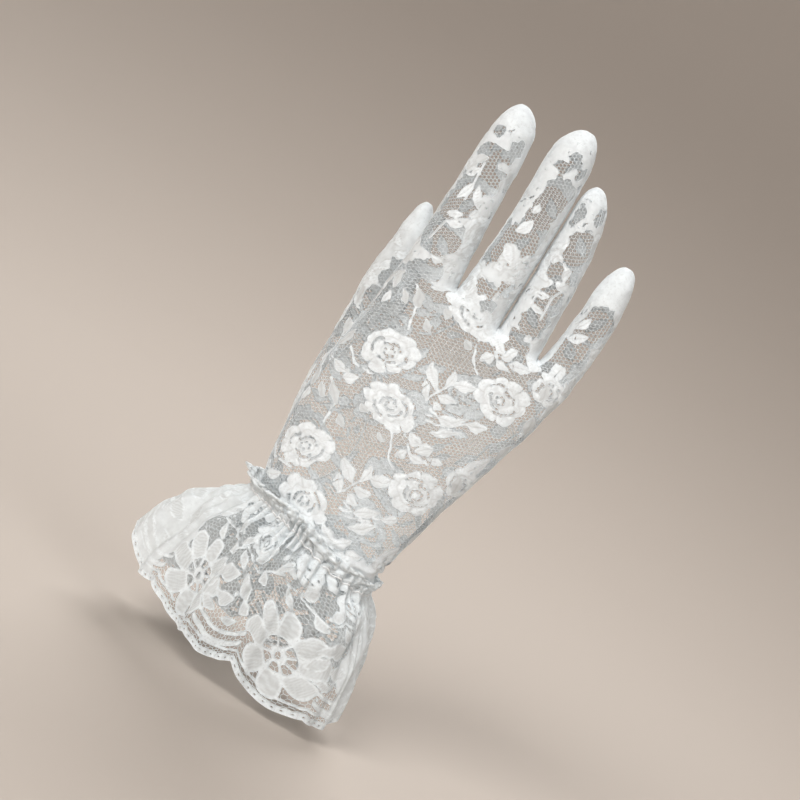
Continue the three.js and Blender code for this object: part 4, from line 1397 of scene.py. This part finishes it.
def woven(name, colour, rough, sheen, through, pitch, depth):
    """White thread cloth: a fine weave in relief, a soft sheen and some light let through."""
    material, tree, surface = new_material(name)
    add = node_adder(tree)
    place = add("ShaderNodeTexCoord")
    scaled = add("ShaderNodeMapping", {"Scale": (1 / pitch, 1 / pitch, 1), "Vector": place["UV"]})
    split = add("ShaderNodeSeparateXYZ", {"Vector": scaled["Vector"]})
    waves = []
    for axis in ("X", "Y"):
        turn = add("ShaderNodeMath", {0: split[axis], 1: 2 * math.pi}, operation="MULTIPLY")
        waves.append(add("ShaderNodeMath", {0: turn[0]}, operation="SINE")[0])
    weave = add("ShaderNodeMath", {0: waves[0], 1: waves[1]}, operation="MULTIPLY")
    clouds = add("ShaderNodeTexNoise", {"Scale": CLOUDS, "Detail": 3, "Vector": place["Object"]})
    height = add("ShaderNodeMath", {0: weave[0], 1: clouds["Fac"]}, operation="ADD")
    bump = add(
        "ShaderNodeBump",
        {"Strength": RELIEF_STRENGTH, "Distance": depth * MM, "Height": height[0]},
    )
    span = {"From Min": CLOUD_SPAN[0], "From Max": CLOUD_SPAN[1], "Value": clouds["Fac"]}
    clouded = add("ShaderNodeMapRange", span)
    dull = (*[CLOUD_SHARE * c for c in colour], 1)
    tint = add(
        "ShaderNodeMix",
        {"A": dull, "B": (*colour, 1), "Factor": clouded["Result"]},
        data_type="RGBA",
    )
    flecks = add("ShaderNodeTexNoise", {"Scale": FLECKS, "Detail": 1, "Vector": place["Object"]})
    span = {"From Min": FLECK_SPAN[0], "From Max": FLECK_SPAN[1], "Value": flecks["Fac"]}
    flecked = add("ShaderNodeMapRange", {**span, "To Max": FLECK})
    # The tone darkens the colour for thin cloth and as painted shade in grooves and creases; the
    # flecks darken it at random.
    tone = add("ShaderNodeAttribute", attribute_name="tone")
    darker = add("ShaderNodeMath", {0: tone["Fac"], 1: flecked["Result"]}, operation="MAXIMUM")
    thin = (*[THIN_AND_SHADE_SHARE * c * k for c, k in zip(colour, THIN_AND_SHADE_TINT)], 1)
    shade = add(
        "ShaderNodeMix", {"Factor": darker[0], "A": tint["Result"], "B": thin}, data_type="RGBA"
    )
    look = {
        "Base Color": shade["Result"],
        "Normal": bump["Normal"],
        "Roughness": rough,
        "Sheen Weight": sheen,
        "Sheen Roughness": SHEEN_ROUGH,
        "Specular IOR Level": GLOSS,
    }
    feed(tree, surface, look)
    glow = add("ShaderNodeBsdfTranslucent", {"Color": shade["Result"]})
    parts = {"Fac": through, 1: surface.outputs["BSDF"], 2: glow["BSDF"]}
    mix = add("ShaderNodeMixShader", parts)
    feed(tree, tree.nodes["Material Output"], {"Surface": mix["Shader"]})
    return material


# Name, colour, roughness, sheen, share of light let through, pitch of the weave and its depth.
LACE = woven("lace_cotton", (0.85, 0.895, 0.92), 0.78, 0.25, 0.22, 0.42, 0.06)
BORDER = woven("border_lace_cotton", (0.845, 0.895, 0.92), 0.74, 0.25, 0.24, 0.5, 0.07)
THREAD = woven("sewing_thread_cotton", (0.88, 0.9, 0.91), 0.7, 0.2, 0.15, 0.3, 0.05)
TAPE = woven("seam_tape_knit", (0.87, 0.9, 0.92), 0.82, 0.2, 0.34, 0.6, 0.08)

# Radii of the threads of the net and of the outlines: in the glove's lace, and in the border's.
NET_RADIUS, CORD_RADIUS = 0.12, 0.15
BORDER_NET_RADIUS, BORDER_CORD_RADIUS = 0.13, 0.17
THREAD_SIDES = 3


def lace_piece(name, parts, cloth, net_radius, cord_radius):
    """The cloth and the net of one piece, and beside it the thread that outlines its motifs."""
    body, net, outline = Mesh(), Mesh(), Mesh()
    for patch in parts:
        cloth_of(patch, body, outline)
        net_of(patch, net)
    solid = body.object(name, cloth)
    threads = as_threads(net.object(name + "_net"), name + "_net", net_radius, THREAD_SIDES, cloth)
    whole = joined(name, [solid, threads])
    lines = outline.object(name + "_lines")
    name = name.replace("_lace", "_outline")
    return whole, as_threads(lines, name, cord_radius, THREAD_SIDES, cloth)


def patch_area(patch):
    """Area of the part of a patch that is sewn in, in square millimetres."""
    p = patch.p
    across, along = p[1:, 1:] - p[:-1, :-1], p[1:, :-1] - p[:-1, 1:]
    each = np.linalg.norm(np.cross(across, along), axis=2) / 2
    return float(each[(patch.mask[1:, 1:] > 0)].sum())


def flat_size(patch):
    """Width and height of a patch along its own surface, in metres."""
    return steps_of(patch.p, 1).sum(1).max() * MM, steps_of(patch.p).sum(0).max() * MM


made_sheets = {}
for patch in patches:
    parts = [patch, *cap_patches.get(patch.name, [])]
    pieces = lace_piece(patch.name, parts, LACE, NET_RADIUS, CORD_RADIUS)
    area = sum(patch_area(p) for p in parts) * MM * MM
    made_sheets[patch.name] = (*pieces, flat_size(patch), area)

# Ruffle. It is pinched to the hand at this level, which tilts up towards the thumb's side.
PINCH_Z, PINCH_TILT = -2, 6
HEADING_HIGH = 7
# The neck is straight up and down over this half height, and this share of the cloth.
NECK_HALF, NECK_SHARE = 2.4, 0.05
RUFFLE_OUT = 1.1
SCALLOPS, SCALLOP_DEEP = 12, 4.5
GATHERS, RIPPLES = 58, 29
# The gathers: how much deeper they are at the pinch than at the hem, how deep at the hem, how
# much less at the heading's top, and the power that they fade with down the flounce. At the
# pinch the thread draws the cloth in this far.
GATHER_DEEP, GATHER_LEFT, GATHER_LESS, GATHER_FADE = 1.05, 0.2, 0.35, 1.3
DRAWN_IN = 0.5
# Up to about this share of the cloth from the pinch, crumples and gathers lift it, and bunches
# and crumples push it out. A bunch goes inwards by this share of its swing at most.
CLOSE = 0.16
CRUMPLE_UP, GATHER_UP, BUNCH_OUT, CRUMPLE_OUT = 0.7, 0.5, 1.3, 0.6
BUNCH_IN = 0.4
# How ragged the heading's top is, and how much more for each millimetre that it flares.
RAGGED, RAGGED_FLARED = 0.9, 0.3
# Down the flounce: how much of its droop is in its fall, the depths of its crumples, of its
# ripples at the hem and of its small folds, how soon the crumples come in and how much they fade
# by the hem, and how soon the folds come in.
DROOP_FALL = 0.6
LOOSE_DEEP, RIPPLE_DEEP, FOLD_DEEP = 0.7, 0.8, 2.6
LOOSE_SOON, LOOSE_FADE, FOLD_SOON = 3, 0.7, 6
# The ruffle's unevenness: waves in a turn, how fast they change down the cloth, the shift of the
# noise, its mean and its swing.
UNEVEN = {
    "pinch": (14, 0, 41, 0, 1.3),
    "neck": (30, 0, 5, 0.75, 0.45),
    "top": (20, 0, 13, -0.8, 2.0),
    "flare": (18, 0, 3, 0.6, 0.3),
    "gather": (40, 2, 0, 0, 2.6),
    "strength": (60, 0.7, 9, 0.55, 0.45),
    "bunch": (26, 2.4, 17, 0, 1),
    "crumple": (46, 3, 31, 0, 1),
    "crinkle": (80, 6, 7, 0, 0.45),
    "ripple": (12, 0, 4, 0, 3),
    "fold": (30, 5, 23, 0.5, 1),
}
# Folds, once round from the outer side by way of the palm: a ridge's angle, reach and hem level,
# the same of the valley after it, how much the cloth droops, and how far the heading flares.
FOLDS = [
    (6, 41, -48, 20, 34, -47, 0.8, 0.8),
    (34, 43, -52, 50, 32, -51, 0.9, 1.6),
    (66, 41, -54, 82, 30, -51, 1, 2.4),
    (98, 41, -53, 114, 32, -49, 1, 2.8),
    (130, 48, -49, 142, 40, -46, 0.7, 3.4),
    (156, 56, -44, 166, 50, -42, 0.6, 4.2),
    (179, 58, -35, 192, 50, -41, 0.6, 4.2),
    (207, 45, -46, 221, 36, -48, 0.7, 3),
    (234, 36, -53, 249, 30, -52, 0.9, 2),
    (266, 30, -53, 295, 30, -56, 1, 1.6),
    (318, 40, -58, 329, 42, -55, 0.9, 1.2),
    (342, 43, -53, 354, 38, -49, 0.8, 0.8),
]
hem_rows = []
for ridge, out, low, valley, dip, high, droop, heading in FOLDS:
    hem_rows += [[ridge, out, low, droop, heading], [valley, dip, high, droop, heading]]
before = [hem_rows[-1][0] - 360, *hem_rows[-1][1:]]
after = [[row[0] + 360, *row[1:]] for row in hem_rows[:2]]
HEM = Table("angle out low droop heading", [before, *hem_rows, *after])
FOLD_TURN = Table(
    "fold ridge", [(k, row[0]) for k, row in enumerate(FOLDS)] + [(len(FOLDS), FOLDS[0][0] + 360)]
)


def hand_reach(z, cos, sin):
    """How far the hand reaches from its middle in a direction."""
    z = np.clip(z, HAND_FOOT, HAND_LAST)
    half = np.where(cos > 0, HAND.at("right", z), -HAND.at("left", z))
    deep = np.where(sin > 0, HAND.at("palm", z), HAND.at("back", z))
    power = 2 / HAND.at("round", z)
    return (np.abs(cos / half) ** power + np.abs(sin / deep) ** power) ** (-1 / power)


def unevenness(around, down, name):
    """Noise that closes up round the ruffle."""
    waves, change, shift, mean, swing = UNEVEN[name]
    turn, radius = 2 * math.pi * around, waves / (2 * math.pi)
    down = down * change
    wave = noise(radius * np.cos(turn) + 0.7 * down, radius * np.sin(turn) + down, 1.0, shift)
    return mean + swing * wave


def ruffle_at(around, down):
    """The ruffle's surface: around from 0 to 1, down from -1 at the heading to 1 at the hem."""
    angle = FOLD_TURN.at("ridge", (around % 1) * len(FOLDS))
    cos, sin = np.cos(np.radians(angle)), np.sin(np.radians(angle))
    wrapped = np.where(angle > HEM.key[1] + 360, angle - 360, angle)
    hem = {name: HEM.at(name, wrapped) for name in ("out", "low", "droop", "heading")}
    uneven = {name: unevenness(around, down, name) for name in UNEVEN}
    up, falling = np.clip(-down, 0, 1), np.clip(down, 0, 1)
    close = groove(down, CLOSE)
    crumple = uneven["crumple"] + uneven["crinkle"]
    gather = np.sin(2 * math.pi * GATHERS * around + uneven["gather"])
    ripple = np.sin(2 * math.pi * RIPPLES * around + uneven["ripple"])
    # The neck and the heading.
    pinch = PINCH_Z - PINCH_TILT * cos + uneven["pinch"]
    half = NECK_HALF * uneven["neck"]
    neck = pinch - np.clip(down / NECK_SHARE, -1, 1) * half
    level = np.where(down < 0, neck + (pinch + HEADING_HIGH - neck) * up, pinch)
    start = hand_reach(level, cos, sin) + RUFFLE_OUT
    level = level + up * uneven["top"]
    flare = hem["heading"] * uneven["flare"]
    ragged = (RAGGED + RAGGED_FLARED * hem["heading"]) * np.sqrt(up) * (crumple + 0.5)
    heading = flare * np.sin(up * math.pi / 2) + ragged
    # The flounce.
    quarter = falling * math.pi / 2
    outward = falling + (np.sin(quarter) - falling) * hem["droop"]
    fall = falling + (1 - np.cos(quarter) - falling) * DROOP_FALL * hem["droop"]
    hem_low = hem["low"] + SCALLOP_DEEP * (1 - np.abs(np.sin(math.pi * SCALLOPS * around)))
    out = start + heading + (hem["out"] - start) * outward
    z = np.where(down < 0, level, neck + (hem_low - neck) * fall)
    # Gathers, bunches and crumples about the pinch, then crumples, ripples and small folds.
    depth = GATHER_DEEP * (1 - falling) ** GATHER_FADE + GATHER_LEFT - GATHER_LESS * up
    out = out + depth * (1 + gather * uneven["strength"])
    out = out - DRAWN_IN * groove(down, NECK_SHARE / 2)
    z = z + close * (CRUMPLE_UP * crumple + GATHER_UP * gather)
    bunch = np.maximum(uneven["bunch"], -BUNCH_IN)
    out = out + close * (BUNCH_OUT * bunch + CRUMPLE_OUT * crumple)
    loose = LOOSE_DEEP * np.minimum(falling * LOOSE_SOON, 1) * (1 - LOOSE_FADE * falling)
    out = out + RIPPLE_DEEP * falling**2 * ripple + loose * crumple
    near = np.clip(falling * FOLD_SOON, 0, 1) * (1 - falling)
    out = out + FOLD_DEEP * near * uneven["fold"]
    return np.stack([out * cos, out * sin, z], -1)


# The ruffle's grid: columns round it, where the edge of the hem begins, and the rows of the
# edge, the flounce, the neck and the heading.
RUFFLE_COLUMNS = 640
EDGE_SHARE = 0.94
EDGE_ROWS, FLOUNCE_ROWS, NECK_ROWS, HEADING_ROWS = 10, 80, 11, 20
RUFFLE_DOWNS = np.concatenate(
    [
        np.linspace(1, EDGE_SHARE, EDGE_ROWS)[:-1],
        np.linspace(EDGE_SHARE, NECK_SHARE, FLOUNCE_ROWS),
        np.linspace(NECK_SHARE, -NECK_SHARE, NECK_ROWS)[1:-1],
        np.linspace(-NECK_SHARE, -1, HEADING_ROWS),
    ]
)


def ruffle_patch(name, columns, downs):
    """The ruffle's cloth, measured up from its hem."""
    around, down = np.meshgrid(np.linspace(0, 1, columns + 1), downs)
    p = ruffle_at(around, down)
    normals = unit(np.cross(np.gradient(p, axis=1), np.gradient(p, axis=0)))
    patch = Patch(name, p, normals, around * RUFFLE_REPEATS * RUFFLE_REPEAT, arc_of(p))
    patch.dress(ruffle_lace(patch.u, patch.v, patch.v[-1]))
    return patch


ruffle = ruffle_patch("ruffle_lace", RUFFLE_COLUMNS, RUFFLE_DOWNS)
ruffle_piece, ruffle_cord = lace_piece(
    "ruffle_lace", [ruffle], BORDER, BORDER_NET_RADIUS, BORDER_CORD_RADIUS
)


# Seams
def chain(count, closed=False):
    """Edges that join points one after another."""
    first = np.arange(count if closed else count - 1)
    return np.stack([first, (first + 1) % count], 1)


def along_line(at, places, values):
    """Points looked up along a line of them, each coordinate by itself."""
    return np.stack([np.interp(at, places, values[:, k]) for k in range(3)], 1)


def tube_mesh(path, radius, sides_count):
    """Quads of a closed tube along a path, with the frames turned as little as possible."""
    ahead = unit(np.roll(path, -1, 0) - np.roll(path, 1, 0))
    side = np.zeros_like(path)
    side[0] = unit(np.cross(ahead[0], [0.1, 0.2, 1.0]))
    for i in range(1, len(path)):
        side[i] = unit(side[i - 1] - ahead[i] * (side[i - 1] @ ahead[i]))
    up = np.cross(ahead, side)
    angle = np.arange(sides_count) * 2 * math.pi / sides_count
    rings = path[:, None] + radius[:, None, None] * (
        np.cos(angle)[None, :, None] * side[:, None] + np.sin(angle)[None, :, None] * up[:, None]
    )
    ids = np.arange(len(path) * sides_count).reshape(len(path), sides_count)
    return rings, quads_of(np.vstack([ids, ids[:1]]), True)


SEAM_INSET = 0.75


def finger_line(n, column):
    """Points just inside one side of a finger, normals and sideways direction."""
    ids = finger_ids[n]
    line = ids[:, column]
    side = unit(P[ids[:, column + 1]] - P[ids[:, column - 1]])
    return P[line] - N[line] * SEAM_INSET, N[line], side


def strip_mesh(points, normals, side, wide, thick):
    """A flat strip with rounded edges along a line of points."""
    profile = [(-1, 0), (-0.8, 0.5), (0.8, 0.5), (1, 0), (0.8, -0.5), (-0.8, -0.5)]
    rings = np.stack(
        [points + side * (a * wide / 2) + normals * (b * thick) for a, b in profile], 1
    )
    ids = np.arange(len(points) * len(profile)).reshape(len(points), len(profile))
    ends = np.stack([ids[0], ids[-1][::-1]])
    return rings, quads_of(ids, True), ends


def zigzag(points, normals, side, wide, every, lift):
    """A line of stitches that crosses a strip from edge to edge."""
    length = arc_of(points)
    count = max(int(length[-1] / every), 2)
    at = np.linspace(0, length[-1], count)
    p, n, s = (along_line(at, length, values) for values in (points, normals, side))
    turn = np.where(np.arange(count) % 2 == 0, 1.0, -1.0)[:, None]
    return p + unit(n) * lift + unit(s) * turn * wide / 2


TAPE_WIDE, TAPE_THICK = 3.4, 0.34
# Two lines of stitches cross each tape, this far apart: width, step, depth inside, and radius.
STITCH_APART, STITCH_WIDE, STITCH_STEP, STITCH_IN, STITCH_RADIUS = 0.45, 2.8, 0.9, 0.32, 0.2
# The closing line of stitches lies this far outside the cloth's grid.
CLOSING_OUT = 0.12
SEAM_SIDES = 6
RIGHT_MID, LEFT_MID = FACE + SIDE // 2, FINGER_RING - SIDE // 2
seam_pieces = {}
SEAM_NODES = ["seam_index_middle", "seam_middle_ring", "seam_ring_little"]
for n, node in enumerate(SEAM_NODES):
    one, other = finger_line(n, RIGHT_MID), finger_line(n + 1, LEFT_MID)
    points = np.concatenate([one[0][::-1], other[0][1:]])
    normals = np.concatenate([one[1][::-1], other[1][1:]])
    side = np.concatenate([one[2][::-1], -other[2][1:]])
    seam_pieces[node] = (points, normals, side)
# The outer side's seam runs up the hand from above the pinch, and on up the little finger.
line = np.concatenate([hand_ids[6:, HAND_OPENING], finger_ids[3][1:, RIGHT_MID]])
ahead = unit(np.gradient(P[line], axis=0))
side = unit(np.cross(N[line], ahead))
seam_pieces["seam_outer_side"] = (P[line] - N[line] * SEAM_INSET, N[line], side)
tape_objects, stitch_objects = {}, {}
for node, (points, normals, side) in seam_pieces.items():
    tape, stitches = Mesh(), Mesh()
    rings, quads, ends = strip_mesh(points, normals, side, TAPE_WIDE, TAPE_THICK)
    tape.add(rings, [quads, ends])
    inner = (points[2:-2], normals[2:-2], side[2:-2])
    for shift in (0.0, STITCH_APART):
        path = zigzag(*inner, STITCH_WIDE, STITCH_STEP, -STITCH_IN)
        stitches.add(path + [0, 0, shift], edges=chain(len(path)))
    # The closing line of stitches shows outside, sunk in the join.
    ridge = points + normals * (SEAM_INSET + CLOSING_OUT)
    stitches.add(ridge, edges=chain(len(ridge)))
    tape_objects[node] = tape.object(node.replace("seam", "tape"), TAPE)
    name = node.replace("seam", "stitches")
    stitches = stitches.object(name)
    stitch_objects[node] = as_threads(stitches, name, STITCH_RADIUS, SEAM_SIDES, THREAD)

# Gathering seam: a twisted roll of thread round the pinch, with a wrapped stitch at each gather.
ROLL_STEPS, ROLL_SIDES, ROLL_OUT = 360, 10, 0.5
ROLL_RADIUS, ROLL_SWELL = 0.34, 0.08
WRAP_STEPS, WRAP_SIDES, WRAP_RADIUS = 12, 5, 0.13
WRAP_DEEP, WRAP_HIGH = 0.45, 0.9
steps = np.arange(ROLL_STEPS)
roll = ruffle_at(steps / ROLL_STEPS, np.zeros(ROLL_STEPS))
roll = roll + unit(roll * [1, 1, 0]) * ROLL_OUT
swell = np.sin(steps * 2 * math.pi * GATHERS / ROLL_STEPS)
rings, quads = tube_mesh(roll, ROLL_RADIUS + ROLL_SWELL * swell, ROLL_SIDES)
body, wraps = Mesh(), Mesh()
body.add(rings, [quads])
gathering = body.object("gathering_roll", THREAD)
t = np.arange(GATHERS * WRAP_STEPS) / (GATHERS * WRAP_STEPS)
centre = along_line(t, np.arange(ROLL_STEPS + 1) / ROLL_STEPS, np.vstack([roll, roll[:1]]))
spin = 2 * math.pi * GATHERS * t
coil = centre + unit(centre * [1, 1, 0]) * (WRAP_DEEP * np.cos(spin))[:, None]
coil[:, 2] += WRAP_HIGH * np.sin(spin)
wraps.add(coil, edges=chain(len(coil), closed=True))
wraps = wraps.object("gathering_wraps")
wrap_object = as_threads(wraps, "gathering_wraps", WRAP_RADIUS, WRAP_SIDES, THREAD)


# Set-in seam of the thumb: a cord along the line where its cloth meets the hand's.
def zero_line(patch, values):
    """Segments of the line where values are zero on a patch."""
    ghost = Patch("ghost", patch.p, patch.n, patch.u, patch.v)
    ghost.lace, ghost.tone = values, 0 * values
    lines = Mesh()
    cloth_of(ghost, Mesh(), lines)
    return lines


SET_IN_RADIUS = 0.32
thumb_line = zero_line(thumb_patch, thumb_patch.mask).object("thumb_line")
thumb_cord = as_threads(thumb_line, "thumb_set_in_seam", SET_IN_RADIUS, SEAM_SIDES, THREAD)


# Each piece hides the solid that it dresses and rides on the root body.
def declare(piece, node):
    """The solid that a piece dresses, and the body that it rides on."""
    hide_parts(node)
    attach(piece, "root")


PLACES = {
    "hand_palm_lace": "hand",
    "hand_back_lace": "hand",
    "index_lace": "index_finger",
    "middle_lace": "middle_finger",
    "ring_lace": "ring_finger",
    "little_lace": "little_finger",
    "thumb_lace": "thumb",
}
for name, node in PLACES.items():
    whole, cord, flat, area = made_sheets[name]
    area = min(area, flat[0] * flat[1])
    declare(whole, node)
    declare(cord, node)
declare(ruffle_piece, "cuff_ruffle")
declare(ruffle_cord, "cuff_ruffle")
declare(gathering, "gathering_seam")
declare(wrap_object, "gathering_seam")
for node in seam_pieces:
    declare(tape_objects[node], node)
    declare(stitch_objects[node], node)
declare(thumb_cord, "thumb")


# Studio, in metres: a floor that bends up all round into a backdrop, three soft lamps and a
# camera.
FLOOR_Z, FLOOR_INNER, FLOOR_REACH = -0.0605, 0.4, 0.7
BEND, BEND_STEPS = 1.3, 12
BACKDROP_TOP, BACKDROP_SIDES = 3.2, 96
PAPER, PAPER_ROUGH, PAPER_GLOSS = (0.41, 0.363, 0.323, 1), 0.9, 0.1
DAYLIGHT, DAYLIGHT_STRENGTH = (0.97, 0.985, 1, 1), 0.33
# Name, place, size, power, spread in degrees and colour.
LAMPS = (
    ("key", (-1.0, -1.45, 1.35), 1.2, 53, 180, (1, 0.995, 0.985)),
    ("fill", (1.2, -1.1, 0.9), 1.2, 13, 180, (0.97, 0.99, 1)),
    ("back", (0.05, 1.35, 1.25), 1.1, 10, 100, (1, 1, 1)),
)
LAMPS_AIM = Vector((0.005, 0, 0.055))
# The camera: what it looks at, how far off and how high up, how it is rolled, and its lens.
VIEW_CENTRE, VIEW_FAR = Vector((0.0, 0.0, 0.058)), 0.68
VIEW_HEIGHT, VIEW_ROLL = math.radians(5), math.radians(32)
LENS = 85


def backdrop():
    """A round floor of paper and the wall that it bends up into."""
    line = [(0.0, FLOOR_Z), (FLOOR_INNER, FLOOR_Z)]
    for k in range(BEND_STEPS + 1):
        turn = math.pi / 2 * k / BEND_STEPS
        out, up = FLOOR_REACH + BEND * math.sin(turn), FLOOR_Z + BEND * (1 - math.cos(turn))
        line.append((out, up))
    line.append((FLOOR_REACH + BEND, BACKDROP_TOP))
    count = BACKDROP_SIDES
    turns = [2 * math.pi * k / count for k in range(count)]
    verts = [(0, 0, FLOOR_Z)]
    verts += [(r * math.cos(turn), r * math.sin(turn), z) for r, z in line[1:] for turn in turns]
    faces = [(0, 1 + k, 1 + (k + 1) % count) for k in range(count)]
    for row in range(len(line) - 2):
        a, b = 1 + row * count, 1 + (row + 1) * count
        for k in range(count):
            faces.append((a + k, b + k, b + (k + 1) % count, a + (k + 1) % count))
    mesh = bpy.data.meshes.new("backdrop")
    mesh.from_pydata(verts, [], faces)
    for polygon in mesh.polygons:
        polygon.use_smooth = True
    floor = new_object("backdrop", mesh)
    material, tree, surface = new_material("studio_paper")
    look = {"Base Color": PAPER, "Roughness": PAPER_ROUGH, "Specular IOR Level": PAPER_GLOSS}
    feed(tree, surface, look)
    mesh.materials.append(material)


def lighting():
    """Even daylight, and the lamps."""
    world = bpy.data.worlds.new("studio")
    bpy.context.scene.world = world
    world.use_nodes = True
    sky = world.node_tree.nodes["Background"]
    feed(world.node_tree, sky, {"Color": DAYLIGHT, "Strength": DAYLIGHT_STRENGTH})
    for name, place, size, power, spread, colour in LAMPS:
        lamp = bpy.data.lights.new(name, "AREA")
        lamp.shape = "DISK"
        lamp.size = size
        lamp.energy = power
        lamp.spread = math.radians(spread)
        lamp.color = colour
        holder = new_object(name, lamp)
        holder.location = place
        aim = LAMPS_AIM - Vector(place)
        holder.rotation_euler = aim.to_track_quat("-Z", "Y").to_euler()


def camera():
    """A camera before the back of the hand, rolled so that the glove leans as it is worn."""
    made = bpy.data.cameras.new("camera")
    made.lens = LENS
    made.clip_start, made.clip_end = 0.05, 20
    holder = new_object("camera", made)
    back = Vector((0, -math.cos(VIEW_HEIGHT), math.sin(VIEW_HEIGHT)))
    holder.location = VIEW_CENTRE + back * VIEW_FAR
    aim = (-back).to_track_quat("-Z", "Y")
    holder.rotation_mode = "QUATERNION"
    holder.rotation_quaternion = aim @ Quaternion((0, 0, 1), VIEW_ROLL)
    bpy.context.scene.camera = holder


bpy.context.scene.view_settings.view_transform = "Standard"
backdrop()
lighting()
camera()
